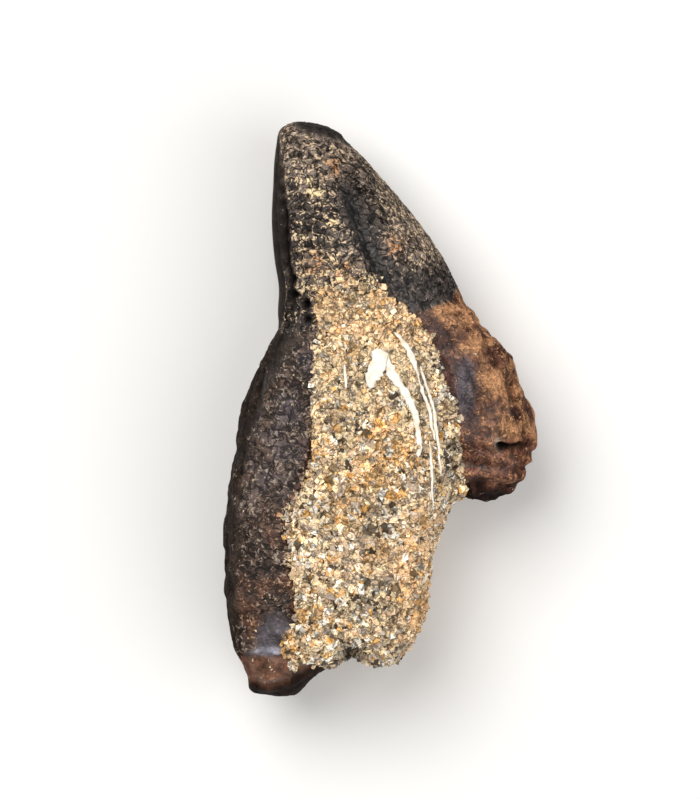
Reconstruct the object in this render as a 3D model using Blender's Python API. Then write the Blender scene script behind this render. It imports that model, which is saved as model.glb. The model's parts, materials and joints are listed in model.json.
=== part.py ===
"""A fossil ceratopsian tooth lying on its side, with sandstone still packed in the fork of its roots.

Run with: blender --background --python part.py

The row frame: +Y runs from the root tips to the apex of the crown, +X from the long root to the short
one, and +Z up from the surface that the tooth lies on. The origin is on that surface, under the middle
of the tooth's outline. Sizes are in millimetres here and become metres when a mesh is made.

Each limb is a loft. Its sections are rounded rectangles across Y, read from a few stations.
"""

from typing import Callable, NamedTuple

import bmesh
import bpy
import numpy as np
from mathutils import noise

MM = 0.001

# Driving dimensions, in millimetres.
MIDDLE_Z = 7.3  # the tooth's middle plane, above the surface that it lies on
SEAM_GAP = 0.3  # clearance between the roots and the sandstone
CROWN_NECK_Y = 6.0  # where the crown ends and the roots begin
CROWN_TOP_Y = 18.0  # the top of the crown's flutes and grooves

# How fine the lofts are: rings along Y, and points round each ring.
LONG_LIMB_GRID = (46, 44)
SHORT_LIMB_GRID = (30, 36)
SANDSTONE_GRID = (34, 38)
RING_BUNCHING = 0.8  # 0 spaces the rings evenly, 1 crowds them at both ends


class Station(NamedTuple):
    """One section of a limb."""

    y: float  # where the section stands
    left: float  # the outline's left and right X, seen from above
    right: float
    crest: float  # X of the section's highest point
    half: float  # half its thickness there


class Limb(NamedTuple):
    """A loft through stations, with rounded ends."""

    stations: tuple[Station, ...]
    squareness: tuple[tuple[float, float], ...]  # left and right, at top and foot: 2 is an ellipse
    end_radii: tuple[float, float]  # of the rounding at the first station and at the last
    grid: tuple[int, int]
    underside: float  # the lower half's thickness as a share of the upper half's


# The crown and the long root under its enamel face, from the apex down to the root tip.
LONG_LIMB = Limb(
    stations=(
        Station(20.0, -7.1, -3.5, -5.6, 3.0),
        Station(18.7, -7.3, -2.5, -5.5, 4.1),
        Station(17.4, -7.5, -1.2, -5.3, 5.1),
        Station(15.6, -7.6, 0.4, -5.0, 6.1),
        Station(13.2, -7.7, 2.4, -4.4, 7.0),
        Station(10.4, -7.5, 4.3, -3.9, 7.6),
        Station(8.3, -7.2, 5.3, -3.6, 7.7),
        Station(6.9, -7.3, 5.6, -3.5, 7.5),
        Station(5.5, -7.4, 4.4, -3.9, 7.1),
        Station(4.1, -8.1, 2.0, -4.6, 6.8),
        Station(2.4, -9.0, -0.7, -5.3, 6.6),
        Station(0.6, -9.7, -2.2, -5.9, 6.5),
        Station(-2.9, -10.3, -3.2, -6.5, 6.5),
        Station(-6.3, -10.8, -4.1, -7.1, 6.4),
        Station(-9.5, -11.0, -4.8, -7.4, 6.2),
        Station(-12.6, -10.9, -4.8, -7.6, 5.8),
        Station(-15.4, -10.6, -4.4, -7.6, 5.3),
        Station(-17.1, -10.3, -3.3, -7.4, 4.8),
        Station(-18.2, -9.7, -4.1, -7.4, 4.2),
        Station(-19.0, -9.6, -5.1, -7.4, 3.5),
        Station(-20.0, -9.6, -5.3, -7.4, 2.6),
    ),
    squareness=((3.4, 2.0), (3.4, 3.4)),
    end_radii=(1.0, 1.0),
    grid=LONG_LIMB_GRID,
    underside=1.0,
)

# The short root, from inside the crown down to its broken end.
SHORT_LIMB = Limb(
    stations=(
        Station(12.0, -2.4, 0.6, -0.9, 2.6),
        Station(9.6, -0.9, 3.3, 1.4, 4.3),
        Station(7.6, 0.3, 5.4, 2.9, 5.7),
        Station(6.2, 0.6, 6.5, 3.5, 6.2),
        Station(4.8, 1.0, 7.9, 4.2, 6.2),
        Station(3.4, 1.5, 9.0, 4.9, 6.1),
        Station(1.3, 2.3, 9.7, 5.6, 5.9),
        Station(-0.1, 2.7, 10.4, 6.2, 5.7),
        Station(-1.5, 3.0, 10.6, 6.7, 5.5),
        Station(-2.3, 3.1, 10.7, 7.0, 5.3),
        Station(-3.2, 3.2, 10.4, 7.0, 4.6),
        Station(-4.3, 3.4, 10.0, 6.9, 4.3),
        Station(-5.2, 3.5, 9.4, 6.6, 3.9),
        Station(-6.2, 3.8, 8.6, 6.3, 3.0),
    ),
    squareness=((2.2, 2.2), (2.6, 2.6)),
    end_radii=(1.0, 0.9),
    grid=SHORT_LIMB_GRID,
    underside=1.0,
)

# The sandstone, from under the crown down to its broken lower edge.
SANDSTONE = Limb(
    stations=(
        Station(8.6, -4.3, -0.1, -2.2, 5.5),
        Station(6.9, -5.7, 1.3, -2.2, 6.6),
        Station(5.5, -6.4, 2.3, -2.2, 7.0),
        Station(3.4, -6.9, 3.9, -1.8, 7.2),
        Station(0.6, -7.1, 5.1, -1.5, 7.3),
        Station(-2.2, -7.2, 5.4, -1.2, 7.4),
        Station(-4.3, -7.4, 5.5, -1.2, 7.4),
        Station(-5.6, -7.8, 5.6, -1.4, 7.3),
        Station(-7.0, -8.1, 5.0, -1.6, 7.3),
        Station(-9.1, -8.2, 4.0, -2.2, 7.1),
        Station(-11.9, -8.3, 3.3, -2.5, 6.9),
        Station(-13.3, -8.3, 3.3, -2.5, 6.7),
        Station(-14.7, -8.2, 2.8, -2.5, 6.4),
        Station(-16.1, -7.8, 2.3, -2.5, 6.0),
        Station(-17.1, -6.7, 1.6, -2.5, 5.4),
        Station(-18.1, -4.3, 0.9, -1.8, 4.4),
    ),
    squareness=((2.6, 2.6), (2.6, 2.6)),
    end_radii=(1.0, 0.8),
    grid=SANDSTONE_GRID,
    underside=1.06,
)

# The hollow between the crown's broad face and its worn slope, as X at each Y.
CROWN_GROOVE = ((17.0, -2.5), (14.6, -2.1), (11.8, -1.1), (9.8, -0.2), (7.6, 1.0))
CROWN_GROOVE_DEPTH = 0.6
CROWN_GROOVE_WIDTH = 0.9

# The enamel face has a median keel, with a shallow flute on each side of it.
FLUTE_DEPTH = 0.5
FLUTE_WIDTH = 1.7
FLUTE_FROM_KEEL = 3.0

ROOT_HOLLOW_DEPTH = 0.35  # the shallow hollow down the long root's outer face
ROOT_HOLLOW_WIDTH = 2.0
CROWN_MARGIN = 1.5  # how far above the crown's neck its flutes and groove begin
CROWN_FADE = 0.5  # how softly they begin and end
ROOT_MARGIN = 1.0  # how far below the neck the roots' lumps begin
ROOT_FADE = 1.0


class Lumps(NamedTuple):
    """Low rounded lumps on a surface."""

    height: float
    lengths: tuple[float, float, float]  # how far apart they are along X, Y and Z


ROOT_LUMPS = Lumps(height=0.6, lengths=(1.6, 4.4, 1.6))  # drawn out along the roots
SANDSTONE_LUMPS = Lumps(height=0.6, lengths=(2.6, 2.9, 2.6))


class Hollow(NamedTuple):
    """An ellipsoid that is cut away."""

    centre: tuple[float, float, float]
    radii: tuple[float, float, float]


ROOT_SLIT = Hollow(centre=(8.6, -2.7, 12.4), radii=(1.1, 0.35, 1.4))
CROWN_PITS = (
    Hollow(centre=(-6.0, 7.9, 14.5), radii=(0.45, 0.6, 0.8)),
    Hollow(centre=(-5.1, 7.2, 14.8), radii=(0.7, 0.35, 0.8)),
)
LOWER_NOTCH = Hollow(centre=(-2.2, -17.6, 12.6), radii=(0.8, 0.7, 3.0))
HOLLOW_SEGMENTS = 14  # round an ellipsoid's upright axis
HOLLOW_RINGS = 9  # from its top to its foot

ENAMEL_BROWN = (0.06, 0.05, 0.045, 1.0)
SAND_TAN = (0.62, 0.47, 0.27, 1.0)


def through(places: np.ndarray, values: np.ndarray, wanted: np.ndarray) -> np.ndarray:
    """A smooth curve through values at falling places: on each stretch a cubic that meets its neighbours."""
    places, values = places[::-1], values[::-1]
    slopes = np.gradient(values, places)
    stretch = np.clip(np.searchsorted(places, wanted) - 1, 0, len(places) - 2)
    low, high = places[stretch], places[stretch + 1]
    span = high - low
    t = (wanted - low) / span
    return (
        (1 + 2 * t) * (1 - t) ** 2 * values[stretch]
        + t * (1 - t) ** 2 * span * slopes[stretch]
        + t**2 * (3 - 2 * t) * values[stretch + 1]
        - t**2 * (1 - t) * span * slopes[stretch + 1]
    )


def rounding(distance: np.ndarray, radius: float) -> np.ndarray:
    """A section's share of its full size, at a distance from a rounded end: a quarter circle, then 1."""
    return np.sqrt(1 - (1 - np.clip(distance / radius, 0, 1)) ** 2)


def bell(distance: np.ndarray, width: float) -> np.ndarray:
    """A smooth hump, 1 at no distance."""
    return np.exp(-((distance / width) ** 2))


def above(value: np.ndarray, edge: float, fade: float) -> np.ndarray:
    """1 well above the edge and 0 well below it."""
    return 1 / (1 + np.exp((edge - value) / fade))


def lumps(points: np.ndarray, kind: Lumps) -> np.ndarray:
    """How far low lumps stand out at each point: smooth noise, stretched to the lumps' lengths."""
    places = (points / np.array(kind.lengths)).reshape(-1, 3)
    heights = np.array([noise.noise(place) for place in places.tolist()])
    return kind.height * heights.reshape(points.shape[:-1])


def tooth_relief(points: np.ndarray, outwards: np.ndarray) -> np.ndarray:
    """How far the tooth's surface stands out of its plain loft.

    The crown has its flutes and its groove, and the roots have lumps and a long hollow.
    """
    x, y, z = points[..., 0], points[..., 1], points[..., 2]
    facing_left = np.clip(-outwards[..., 0], 0, 1) ** 2
    facing_up = np.abs(outwards[..., 2])
    on_crown = above(y, CROWN_NECK_Y + CROWN_MARGIN, CROWN_FADE) * above(-y, -CROWN_TOP_Y, CROWN_FADE)
    on_roots = above(-y, ROOT_MARGIN - CROWN_NECK_Y, ROOT_FADE)
    groove_y, groove_x = np.array(CROWN_GROOVE[::-1]).T
    groove = bell(x - np.interp(y, groove_y, groove_x), CROWN_GROOVE_WIDTH)
    flutes = bell(np.abs(z - MIDDLE_Z) - FLUTE_FROM_KEEL, FLUTE_WIDTH)
    hollow = bell(z - MIDDLE_Z, ROOT_HOLLOW_WIDTH)
    return (
        lumps(points, ROOT_LUMPS) * on_roots
        - CROWN_GROOVE_DEPTH * groove * facing_up * on_crown
        - FLUTE_DEPTH * flutes * facing_left * on_crown
        - ROOT_HOLLOW_DEPTH * hollow * facing_left * on_roots
    )


def sandstone_relief(points: np.ndarray, outwards: np.ndarray) -> np.ndarray:
    """Low lumps all over the sandstone, which way its surface faces making no difference."""
    return lumps(points, SANDSTONE_LUMPS) * np.ones(outwards.shape[:-1])


def limb_points(limb: Limb, relief: Callable, grow: float) -> np.ndarray:
    """The limb's surface as rings of points, with the poles of its two ends.

    In each ring the distance from the crest's axis is that of a superellipse:
    (|cos a| / half width) ** n + (|sin a| / half thickness) ** n = 1 / distance ** n.
    A limb that isn't grown is flat where it would sink into the surface that it lies on.
    """
    rings, around = limb.grid
    y_top, y_low = limb.stations[0].y + grow, limb.stations[-1].y - grow
    t = (np.arange(rings) + 0.5) / rings
    y = y_top + (y_low - y_top) * (t - RING_BUNCHING * np.sin(2 * np.pi * t) / (2 * np.pi))
    table = np.array(limb.stations)
    inside = np.clip(y, table[-1, 0], table[0, 0])
    left, right, crest, half = (through(table[:, 0], table[:, k], inside)[:, None] for k in range(1, 5))
    size = rounding(y_top - y, limb.end_radii[0] + grow) * rounding(y - y_low, limb.end_radii[1] + grow)

    angle = np.linspace(0, 2 * np.pi, around, endpoint=False)[None, :]
    across, up = np.cos(angle), np.sin(angle)
    share = ((inside - table[0, 0]) / (table[-1, 0] - table[0, 0]))[:, None]
    at_top, at_low = np.array(limb.squareness)
    left_power, right_power = (at_top[k] + (at_low[k] - at_top[k]) * share for k in (0, 1))
    power = np.where(across < 0, left_power, right_power)
    width = np.where(across < 0, crest - left, right - crest) + grow
    thickness = np.where(up < 0, half * limb.underside, half) + grow
    distance = ((np.abs(across) / width) ** power + (np.abs(up) / thickness) ** power) ** (-1 / power)
    distance *= size[:, None]
    points = np.stack(
        [crest + distance * across, y[:, None] + 0 * distance, MIDDLE_Z + distance * up], axis=-1
    )
    outwards = np.stack([across + 0 * distance, 0 * distance, up + 0 * distance], axis=-1)
    points += (relief(points, outwards) * size[:, None])[..., None] * outwards
    if grow == 0:
        points[..., 2] = np.maximum(points[..., 2], 0)
    poles = [[crest[0, 0], y_top, MIDDLE_Z], [crest[-1, 0], y_low, MIDDLE_Z]]
    return np.concatenate([points.reshape(-1, 3), np.array(poles)])


def limb_faces(rings: int, around: int) -> list[tuple[int, ...]]:
    """Quads between neighbouring rings, and a fan of triangles to the pole at each end."""
    top_pole, low_pole = rings * around, rings * around + 1
    faces = []
    for j in range(around):
        k = (j + 1) % around
        faces.append((top_pole, k, j))
        faces.append((low_pole, (rings - 1) * around + j, (rings - 1) * around + k))
        for i in range(rings - 1):
            faces.append((i * around + j, i * around + k, (i + 1) * around + k, (i + 1) * around + j))
    return faces


def add_limb(
    name: str, limb: Limb, relief: Callable, collection: bpy.types.Collection, grow: float = 0.0
) -> bpy.types.Object:
    """Makes a limb's mesh, in metres, with its faces pointing out."""
    mesh = bpy.data.meshes.new(name)
    mesh.from_pydata((limb_points(limb, relief, grow) * MM).tolist(), [], limb_faces(*limb.grid))
    body = bmesh.new()
    body.from_mesh(mesh)
    bmesh.ops.recalc_face_normals(body, faces=body.faces)
    body.to_mesh(mesh)
    body.free()
    mesh.shade_smooth()
    made = bpy.data.objects.new(name, mesh)
    collection.objects.link(made)
    return made


def add_hollow(name: str, hollow: Hollow, collection: bpy.types.Collection) -> bpy.types.Object:
    """Makes the ellipsoid that cuts a hollow."""
    body = bmesh.new()
    bmesh.ops.create_uvsphere(body, u_segments=HOLLOW_SEGMENTS, v_segments=HOLLOW_RINGS, radius=1.0)
    bmesh.ops.scale(body, vec=[radius * MM for radius in hollow.radii], verts=body.verts)
    mesh = bpy.data.meshes.new(name)
    body.to_mesh(mesh)
    body.free()
    made = bpy.data.objects.new(name, mesh)
    made.location = [place * MM for place in hollow.centre]
    collection.objects.link(made)
    return made


def combine(target: bpy.types.Object, operation: str, other: bpy.types.Object) -> None:
    """Joins or cuts the target with another object, which isn't shown itself."""
    modifier = target.modifiers.new(f"{operation.lower()}_{other.name}", "BOOLEAN")
    modifier.operation = operation
    modifier.object = other
    modifier.solver = "EXACT"
    other.hide_render = True
    other.display_type = "WIRE"


def add_material(name: str, colour: tuple, roughness: float) -> bpy.types.Material:
    """A plain Principled material."""
    material = bpy.data.materials.new(name)
    material.use_nodes = True
    shader = material.node_tree.nodes["Principled BSDF"]
    shader.inputs["Base Color"].default_value = colour
    shader.inputs["Roughness"].default_value = roughness
    shader.inputs["Metallic"].default_value = 0.0
    return material


def add_collection(name: str) -> bpy.types.Collection:
    """A new collection in the scene."""
    collection = bpy.data.collections.new(name)
    bpy.context.scene.collection.children.link(collection)
    return collection


def clear_scene() -> None:
    """Removes whatever the scene holds."""
    for old in list(bpy.data.objects):
        bpy.data.objects.remove(old, do_unlink=True)


def main() -> None:
    """Builds the tooth and the sandstone in its fork."""
    clear_scene()
    parts = add_collection("fossil_ceratopsian_tooth")
    cutters = add_collection("cutters")

    tooth = add_limb("tooth", LONG_LIMB, tooth_relief, parts)
    combine(tooth, "UNION", add_limb("short_root", SHORT_LIMB, tooth_relief, cutters))
    combine(tooth, "DIFFERENCE", add_hollow("root_slit", ROOT_SLIT, cutters))
    for pit in CROWN_PITS:
        combine(tooth, "DIFFERENCE", add_hollow("crown_pit", pit, cutters))
    tooth.data.materials.append(add_material("fossil_tooth", ENAMEL_BROWN, 0.4))

    sandstone = add_limb("sandstone", SANDSTONE, sandstone_relief, parts)
    for name, limb in (("long_limb_space", LONG_LIMB), ("short_root_space", SHORT_LIMB)):
        combine(sandstone, "DIFFERENCE", add_limb(name, limb, tooth_relief, cutters, grow=SEAM_GAP))
    combine(sandstone, "DIFFERENCE", add_hollow("lower_notch", LOWER_NOTCH, cutters))
    sandstone.data.materials.append(add_material("sandstone", SAND_TAN, 0.9))


main()
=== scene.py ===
"""The looks of a fossil ceratopsian tooth: dark enamel and dentine, with coarse sandstone in the root fork.

Shapes are worked out in millimetres, in the row's frame, and become metres when a mesh is made. +Y runs
from the root tips to the apex of the crown, +X from the long root to the short one, and +Z up.
"""

import itertools
import json
import logging
from collections.abc import Callable, Iterable
from dataclasses import dataclass
from enum import Enum
from functools import partial
from typing import NamedTuple

import bpy
import numpy as np
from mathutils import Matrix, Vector

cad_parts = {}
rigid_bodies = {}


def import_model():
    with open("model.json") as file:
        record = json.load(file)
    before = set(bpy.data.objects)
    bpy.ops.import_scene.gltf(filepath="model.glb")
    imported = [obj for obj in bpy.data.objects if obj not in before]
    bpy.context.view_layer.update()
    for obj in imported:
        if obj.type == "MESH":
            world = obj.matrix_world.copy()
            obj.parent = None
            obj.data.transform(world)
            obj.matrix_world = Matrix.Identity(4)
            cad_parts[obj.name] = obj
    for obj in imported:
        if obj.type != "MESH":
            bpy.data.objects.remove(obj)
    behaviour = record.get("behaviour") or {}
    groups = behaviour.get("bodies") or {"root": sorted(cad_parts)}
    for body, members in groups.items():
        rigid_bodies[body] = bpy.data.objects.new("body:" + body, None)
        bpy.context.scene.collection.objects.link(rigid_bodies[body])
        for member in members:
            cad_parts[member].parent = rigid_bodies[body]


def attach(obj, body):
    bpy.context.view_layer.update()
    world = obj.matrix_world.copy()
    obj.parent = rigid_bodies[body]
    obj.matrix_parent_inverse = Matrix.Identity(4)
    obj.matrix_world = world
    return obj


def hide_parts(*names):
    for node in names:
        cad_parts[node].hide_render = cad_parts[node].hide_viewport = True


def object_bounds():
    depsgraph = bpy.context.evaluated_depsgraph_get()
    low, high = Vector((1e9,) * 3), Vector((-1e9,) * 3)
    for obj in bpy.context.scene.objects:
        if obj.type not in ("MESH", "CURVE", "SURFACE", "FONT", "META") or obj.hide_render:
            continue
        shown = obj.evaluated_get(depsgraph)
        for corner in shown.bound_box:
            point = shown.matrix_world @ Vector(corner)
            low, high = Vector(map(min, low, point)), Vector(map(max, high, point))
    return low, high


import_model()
CAD_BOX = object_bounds()

log = logging.getLogger("fossil_tooth")

MM = 0.001
MIDDLE_Z = 7.3  # the tooth's middle plane, above the surface that it lies on
BOX_MARGIN = 0.004  # how far inside the solids' box every finished point stays
TRIANGLE_LIMIT = 200_000

Rows = tuple[tuple[float, ...], ...]  # numbers in rows: the points of a line, or spots


class Hue(Enum):
    """Surface colours, as sRGB hex."""

    ENAMEL_BLACK = "#39322e"
    ENAMEL_BROWN = "#241f1c"
    ENAMEL_RIDGE = "#51463e"
    ENAMEL_GREY = "#75685e"
    # near-black painted shade in carved recesses: the groove at the enamel's edge, the pits and the slit
    SEAM_BLACK = "#0a0807"
    ROOT_BROWN = "#4e3e33"
    ROOT_GREY = "#514749"
    ROOT_RUST = "#5b3f31"
    ROOT_LOW = "#40322a"
    ROOT_SIDE = "#261e19"
    ROOT_TIP = "#694633"
    # near-black painted shade at the roots' ends, also used in the slit
    ROOT_EDGE = "#1d1310"
    # a pale bluish grey painted highlight on the ledge above the long root's tip
    LEDGE_SHEEN = "#8d8a95"
    SHORT_ROOT = "#744d38"
    SHORT_LOW = "#674334"
    FIBRE_TAN = "#bd8a63"
    BAND_DARK = "#4d332b"
    BAND_GREY = "#494246"
    FILM_TAN = "#dcc1a2"
    FILM_CREAM = "#ffe6b4"
    FILM_GREY = "#9a8b7e"
    FILM_ORANGE = "#cf9a70"
    GRAIN_WHITE = "#fff8e8"
    GRAIN_CREAM = "#fbe2b6"
    GRAIN_TAN = "#e6c8a2"
    GRAIN_AMBER = "#f0c088"
    GRAIN_OCHRE = "#e9b060"
    GRAIN_GREY = "#bcaa96"
    GRAIN_GREEN = "#74654f"
    GRAIN_DARK = "#3b3226"
    CEMENT = "#6b563d"
    CEMENT_DARK = "#382a1b"
    CALCITE = "#fffdf6"
    CALCITE_SHADE = "#eadfc8"
    FLOOR = "#f6f5f3"

    def linear(self) -> np.ndarray:
        """The colour as linear RGB: c / 12.92 when dark, else ((c + 0.055) / 1.055) ** 2.4."""
        parts = np.array([int(self.value[i : i + 2], 16) for i in (1, 3, 5)]) / 255
        return np.where(parts <= 0.04045, parts / 12.92, ((parts + 0.055) / 1.055) ** 2.4)

    def rgba(self) -> tuple[float, ...]:
        """The linear colour with full alpha, for a node's socket."""
        return (*self.linear().tolist(), 1.0)


def above(value: np.ndarray, edge: np.ndarray | float, fade: float) -> np.ndarray:
    """1 well above an edge and 0 well below it, along a logistic curve.

    Args:
        value: the places to judge.
        edge: where the curve passes one half.
        fade: how softly it rises, in the unit of value.

    Returns:
        One number from 0 to 1 for each value.
    """
    return 1 / (1 + np.exp(np.clip((edge - value) / fade, -40, 40)))


def bell(distance: np.ndarray, width: float | np.ndarray) -> np.ndarray:
    """A smooth hump: e to the power of minus the squared distance, in widths.

    Args:
        distance: how far each place is from the middle of the hump.
        width: the distance at which it has fallen to about a third.

    Returns:
        One number from 0 to 1 for each distance.
    """
    return np.exp(-((distance / width) ** 2))


def lattice_random(cells: np.ndarray, seed: int) -> np.ndarray:
    """A random number for each cell of a lattice, always the same for the same cell.

    The cell's indices are multiplied by large odd numbers and mixed by shifts, in whole numbers that wrap
    at 32 bits.

    Args:
        cells: whole numbers, with the three indices on the last axis.
        seed: picks one of many such lattices.

    Returns:
        Numbers from 0 to 1, without the last axis.
    """
    mixed = np.full(cells.shape[:-1], (seed * 2654435761 + 97) % 2**32, np.uint32)
    for axis, factor in enumerate((2376512323, 3625334849, 3407524639)):
        mixed = mixed ^ (cells[..., axis].astype(np.int64).astype(np.uint32) * np.uint32(factor))
        mixed = (mixed ^ (mixed >> np.uint32(15))) * np.uint32(739982445)
        mixed = mixed ^ (mixed >> np.uint32(13))
    return mixed / 2**32


def smooth_noise(points: np.ndarray, spacing: float | tuple[float, ...], seed: int) -> np.ndarray:
    """Value noise: random numbers on a lattice, blended by t * t * (3 - 2 t) along each side of a cell.

    Args:
        points: places, with x, y and z on the last axis.
        spacing: the size of a cell, in the points' unit, or one size for each axis.
        seed: picks the lattice.

    Returns:
        Numbers from -1 to 1.
    """
    places = points / np.array(spacing)
    cells = np.floor(places)
    part = places - cells
    weight = part * part * (3 - 2 * part)
    total = np.zeros(points.shape[:-1])
    for corner in itertools.product((0, 1), repeat=3):
        share = np.prod(np.where(corner, weight, 1 - weight), axis=-1)
        total += share * lattice_random(cells + np.array(corner), seed)
    return 2 * total - 1


def rough_noise(points: np.ndarray, spacing: float, seed: int, octaves: int = 3) -> np.ndarray:
    """Several smooth noises added, each at half the spacing and half the height of the one before.

    Args:
        points: places, with x, y and z on the last axis.
        spacing: the cell size of the coarsest one.
        seed: picks the lattices.
        octaves: how many are added.

    Returns:
        Numbers from about -1 to 1.
    """
    total = np.zeros(points.shape[:-1])
    for octave in range(octaves):
        total += smooth_noise(points, spacing / 2**octave, seed + octave) / 2**octave
    return total / 1.5


def cell_noise(points: np.ndarray, spacing: float, seed: int) -> np.ndarray:
    """Distances to the nearest of many scattered middles, one in each cell of a lattice.

    Args:
        points: places, with x, y and z on the last axis.
        spacing: the size of a cell.
        seed: picks the lattice.

    Returns:
        One distance for each point, in cells.
    """
    places = points / spacing
    cells = np.floor(places)
    nearest = np.full(points.shape[:-1], 9.0)
    for step in itertools.product((-1, 0, 1), repeat=3):
        cell = cells + np.array(step)
        middle = cell + np.stack([lattice_random(cell, seed + k) for k in range(3)], axis=-1)
        nearest = np.minimum(nearest, np.linalg.norm(places - middle, axis=-1))
    return nearest


def through(places: np.ndarray, values: np.ndarray, wanted: np.ndarray) -> np.ndarray:
    """A smooth curve through values at falling places: on each stretch a cubic that meets its neighbours.

    Args:
        places: where the values stand, falling.
        values: the curve's values there.
        wanted: where the curve is read.

    Returns:
        The curve's values at the wanted places.
    """
    places, values = places[::-1], values[::-1]
    slopes = np.gradient(values, places)
    stretch = np.clip(np.searchsorted(places, wanted) - 1, 0, len(places) - 2)
    low, high = places[stretch], places[stretch + 1]
    span = high - low
    t = (wanted - low) / span
    return (
        (1 + 2 * t) * (1 - t) ** 2 * values[stretch]
        + t * (1 - t) ** 2 * span * slopes[stretch]
        + t**2 * (3 - 2 * t) * values[stretch + 1]
        - t**2 * (1 - t) * span * slopes[stretch + 1]
    )


def line_at(line: tuple[tuple[float, float], ...], y: np.ndarray) -> np.ndarray:
    """X of a line that runs down the tooth, straight between its points.

    Args:
        line: its points as (y, x), from the crown down.
        y: where it is read.

    Returns:
        One X for each y.
    """
    ys, xs = np.array(line[::-1]).T
    return np.interp(y, ys, xs)


def mesh_object(name: str, points: np.ndarray, faces: np.ndarray, smooth: bool = True) -> bpy.types.Object:
    """A mesh object from arrays, in metres, with its place in its mesh.

    Args:
        name: the object's name.
        points: one row of x, y and z for each vertex, in millimetres.
        faces: one row of vertex numbers for each face, all with the same number of corners.
        smooth: whether the faces are shaded smooth.

    Returns:
        The object, in the scene.
    """
    mesh = bpy.data.meshes.new(name)
    corners = faces.shape[1]
    mesh.vertices.add(len(points))
    mesh.vertices.foreach_set("co", (points * MM).astype(np.float32).ravel())
    mesh.loops.add(faces.size)
    mesh.loops.foreach_set("vertex_index", faces.astype(np.int32).ravel())
    mesh.polygons.add(len(faces))
    mesh.polygons.foreach_set("loop_start", np.arange(0, faces.size, corners, dtype=np.int32))
    mesh.polygons.foreach_set("use_smooth", np.full(len(faces), smooth))
    mesh.update(calc_edges=True)
    made = bpy.data.objects.new(name, mesh)
    bpy.context.scene.collection.objects.link(made)
    return made


class Surface(NamedTuple):
    """A surface of quads: its points, their normals, and one row of point numbers for each quad."""

    points: np.ndarray
    normals: np.ndarray
    quads: np.ndarray

    @classmethod
    def of(cls, mesh: bpy.types.Mesh) -> "Surface":
        """Reads a mesh.

        Args:
            mesh: a mesh with no faces but quads.

        Returns:
            Its surface, in the mesh's own unit.
        """
        points, normals = np.empty((2, len(mesh.vertices), 3), np.float32)
        quads = np.empty((len(mesh.polygons), 4), np.int32)
        mesh.vertices.foreach_get("co", points.ravel())
        mesh.vertex_normals.foreach_get("vector", normals.ravel())
        mesh.loops.foreach_get("vertex_index", quads.ravel())
        return cls(points.astype(float), normals.astype(float), quads)


def tube_quads(rings: int, around: int) -> np.ndarray:
    """The faces between rings of points that follow each other.

    Args:
        rings: how many rings there are.
        around: how many points each has.

    Returns:
        One row of point numbers for each quad.
    """
    j = np.arange(around)
    k = (j + 1) % around
    ring = np.arange(rings - 1)[:, None] * around
    return np.stack([ring + j, ring + around + j, ring + around + k, ring + k], axis=-1).reshape(-1, 4)


def set_attribute(made: bpy.types.Object, name: str, values: np.ndarray) -> None:
    """Stores one number or one colour for each vertex, for the materials to read.

    Args:
        made: the object that gets the attribute.
        name: the attribute's name.
        values: one number, or one row of linear RGB, for each vertex.
    """
    if values.ndim == 1:
        attribute = made.data.attributes.new(name, "FLOAT", "POINT")
        attribute.data.foreach_set("value", values.astype(np.float32))
        return
    attribute = made.data.attributes.new(name, "FLOAT_COLOR", "POINT")
    with_alpha = np.concatenate([values, np.ones((len(values), 1))], axis=1)
    attribute.data.foreach_set("color", with_alpha.astype(np.float32).ravel())


def inside_box(points: np.ndarray) -> np.ndarray:
    """Points moved, where they stand outside, to just inside the box of the solids.

    Args:
        points: places in millimetres.

    Returns:
        The places, each at least the margin inside the box, and none below the resting surface.
    """
    low, high = (np.array(corner) / MM for corner in CAD_BOX)
    return np.clip(points, low + BOX_MARGIN, high - BOX_MARGIN)


def add_node(
    tree: bpy.types.NodeTree,
    kind: str,
    inputs: dict | tuple = (),
    output: int | str | None = 0,
    **settings: object,
) -> bpy.types.NodeSocket | None:
    """Adds a node with its settings, and fills or links its inputs.

    Args:
        tree: the material's node tree.
        kind: the node's type, after "ShaderNode".
        inputs: what each input holds or is linked to, by its name or number, or in order.
        output: the name or number of the wanted output, or None for a node that has none.
        settings: the node's own settings.

    Returns:
        The wanted output.
    """
    node = tree.nodes.new("ShaderNode" + kind)
    for name, value in settings.items():
        setattr(node, name, value)
    for key, value in inputs.items() if isinstance(inputs, dict) else enumerate(inputs):
        if isinstance(value, bpy.types.NodeSocket):
            tree.links.new(value, node.inputs[key])
        else:
            node.inputs[key].default_value = value
    return None if output is None else node.outputs[output]


def new_material(name: str) -> tuple[bpy.types.Material, Callable]:
    """An empty material.

    Args:
        name: the material's name.

    Returns:
        The material, and add_node for its node tree.
    """
    material = bpy.data.materials.new(name)
    material.use_nodes = True
    material.node_tree.nodes.clear()
    return material, partial(add_node, material.node_tree)


def per_metre(millimetres: float) -> float:
    """A texture's scale, in repeats a metre, from the real size of what repeats."""
    return 1 / (millimetres * MM)


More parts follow.
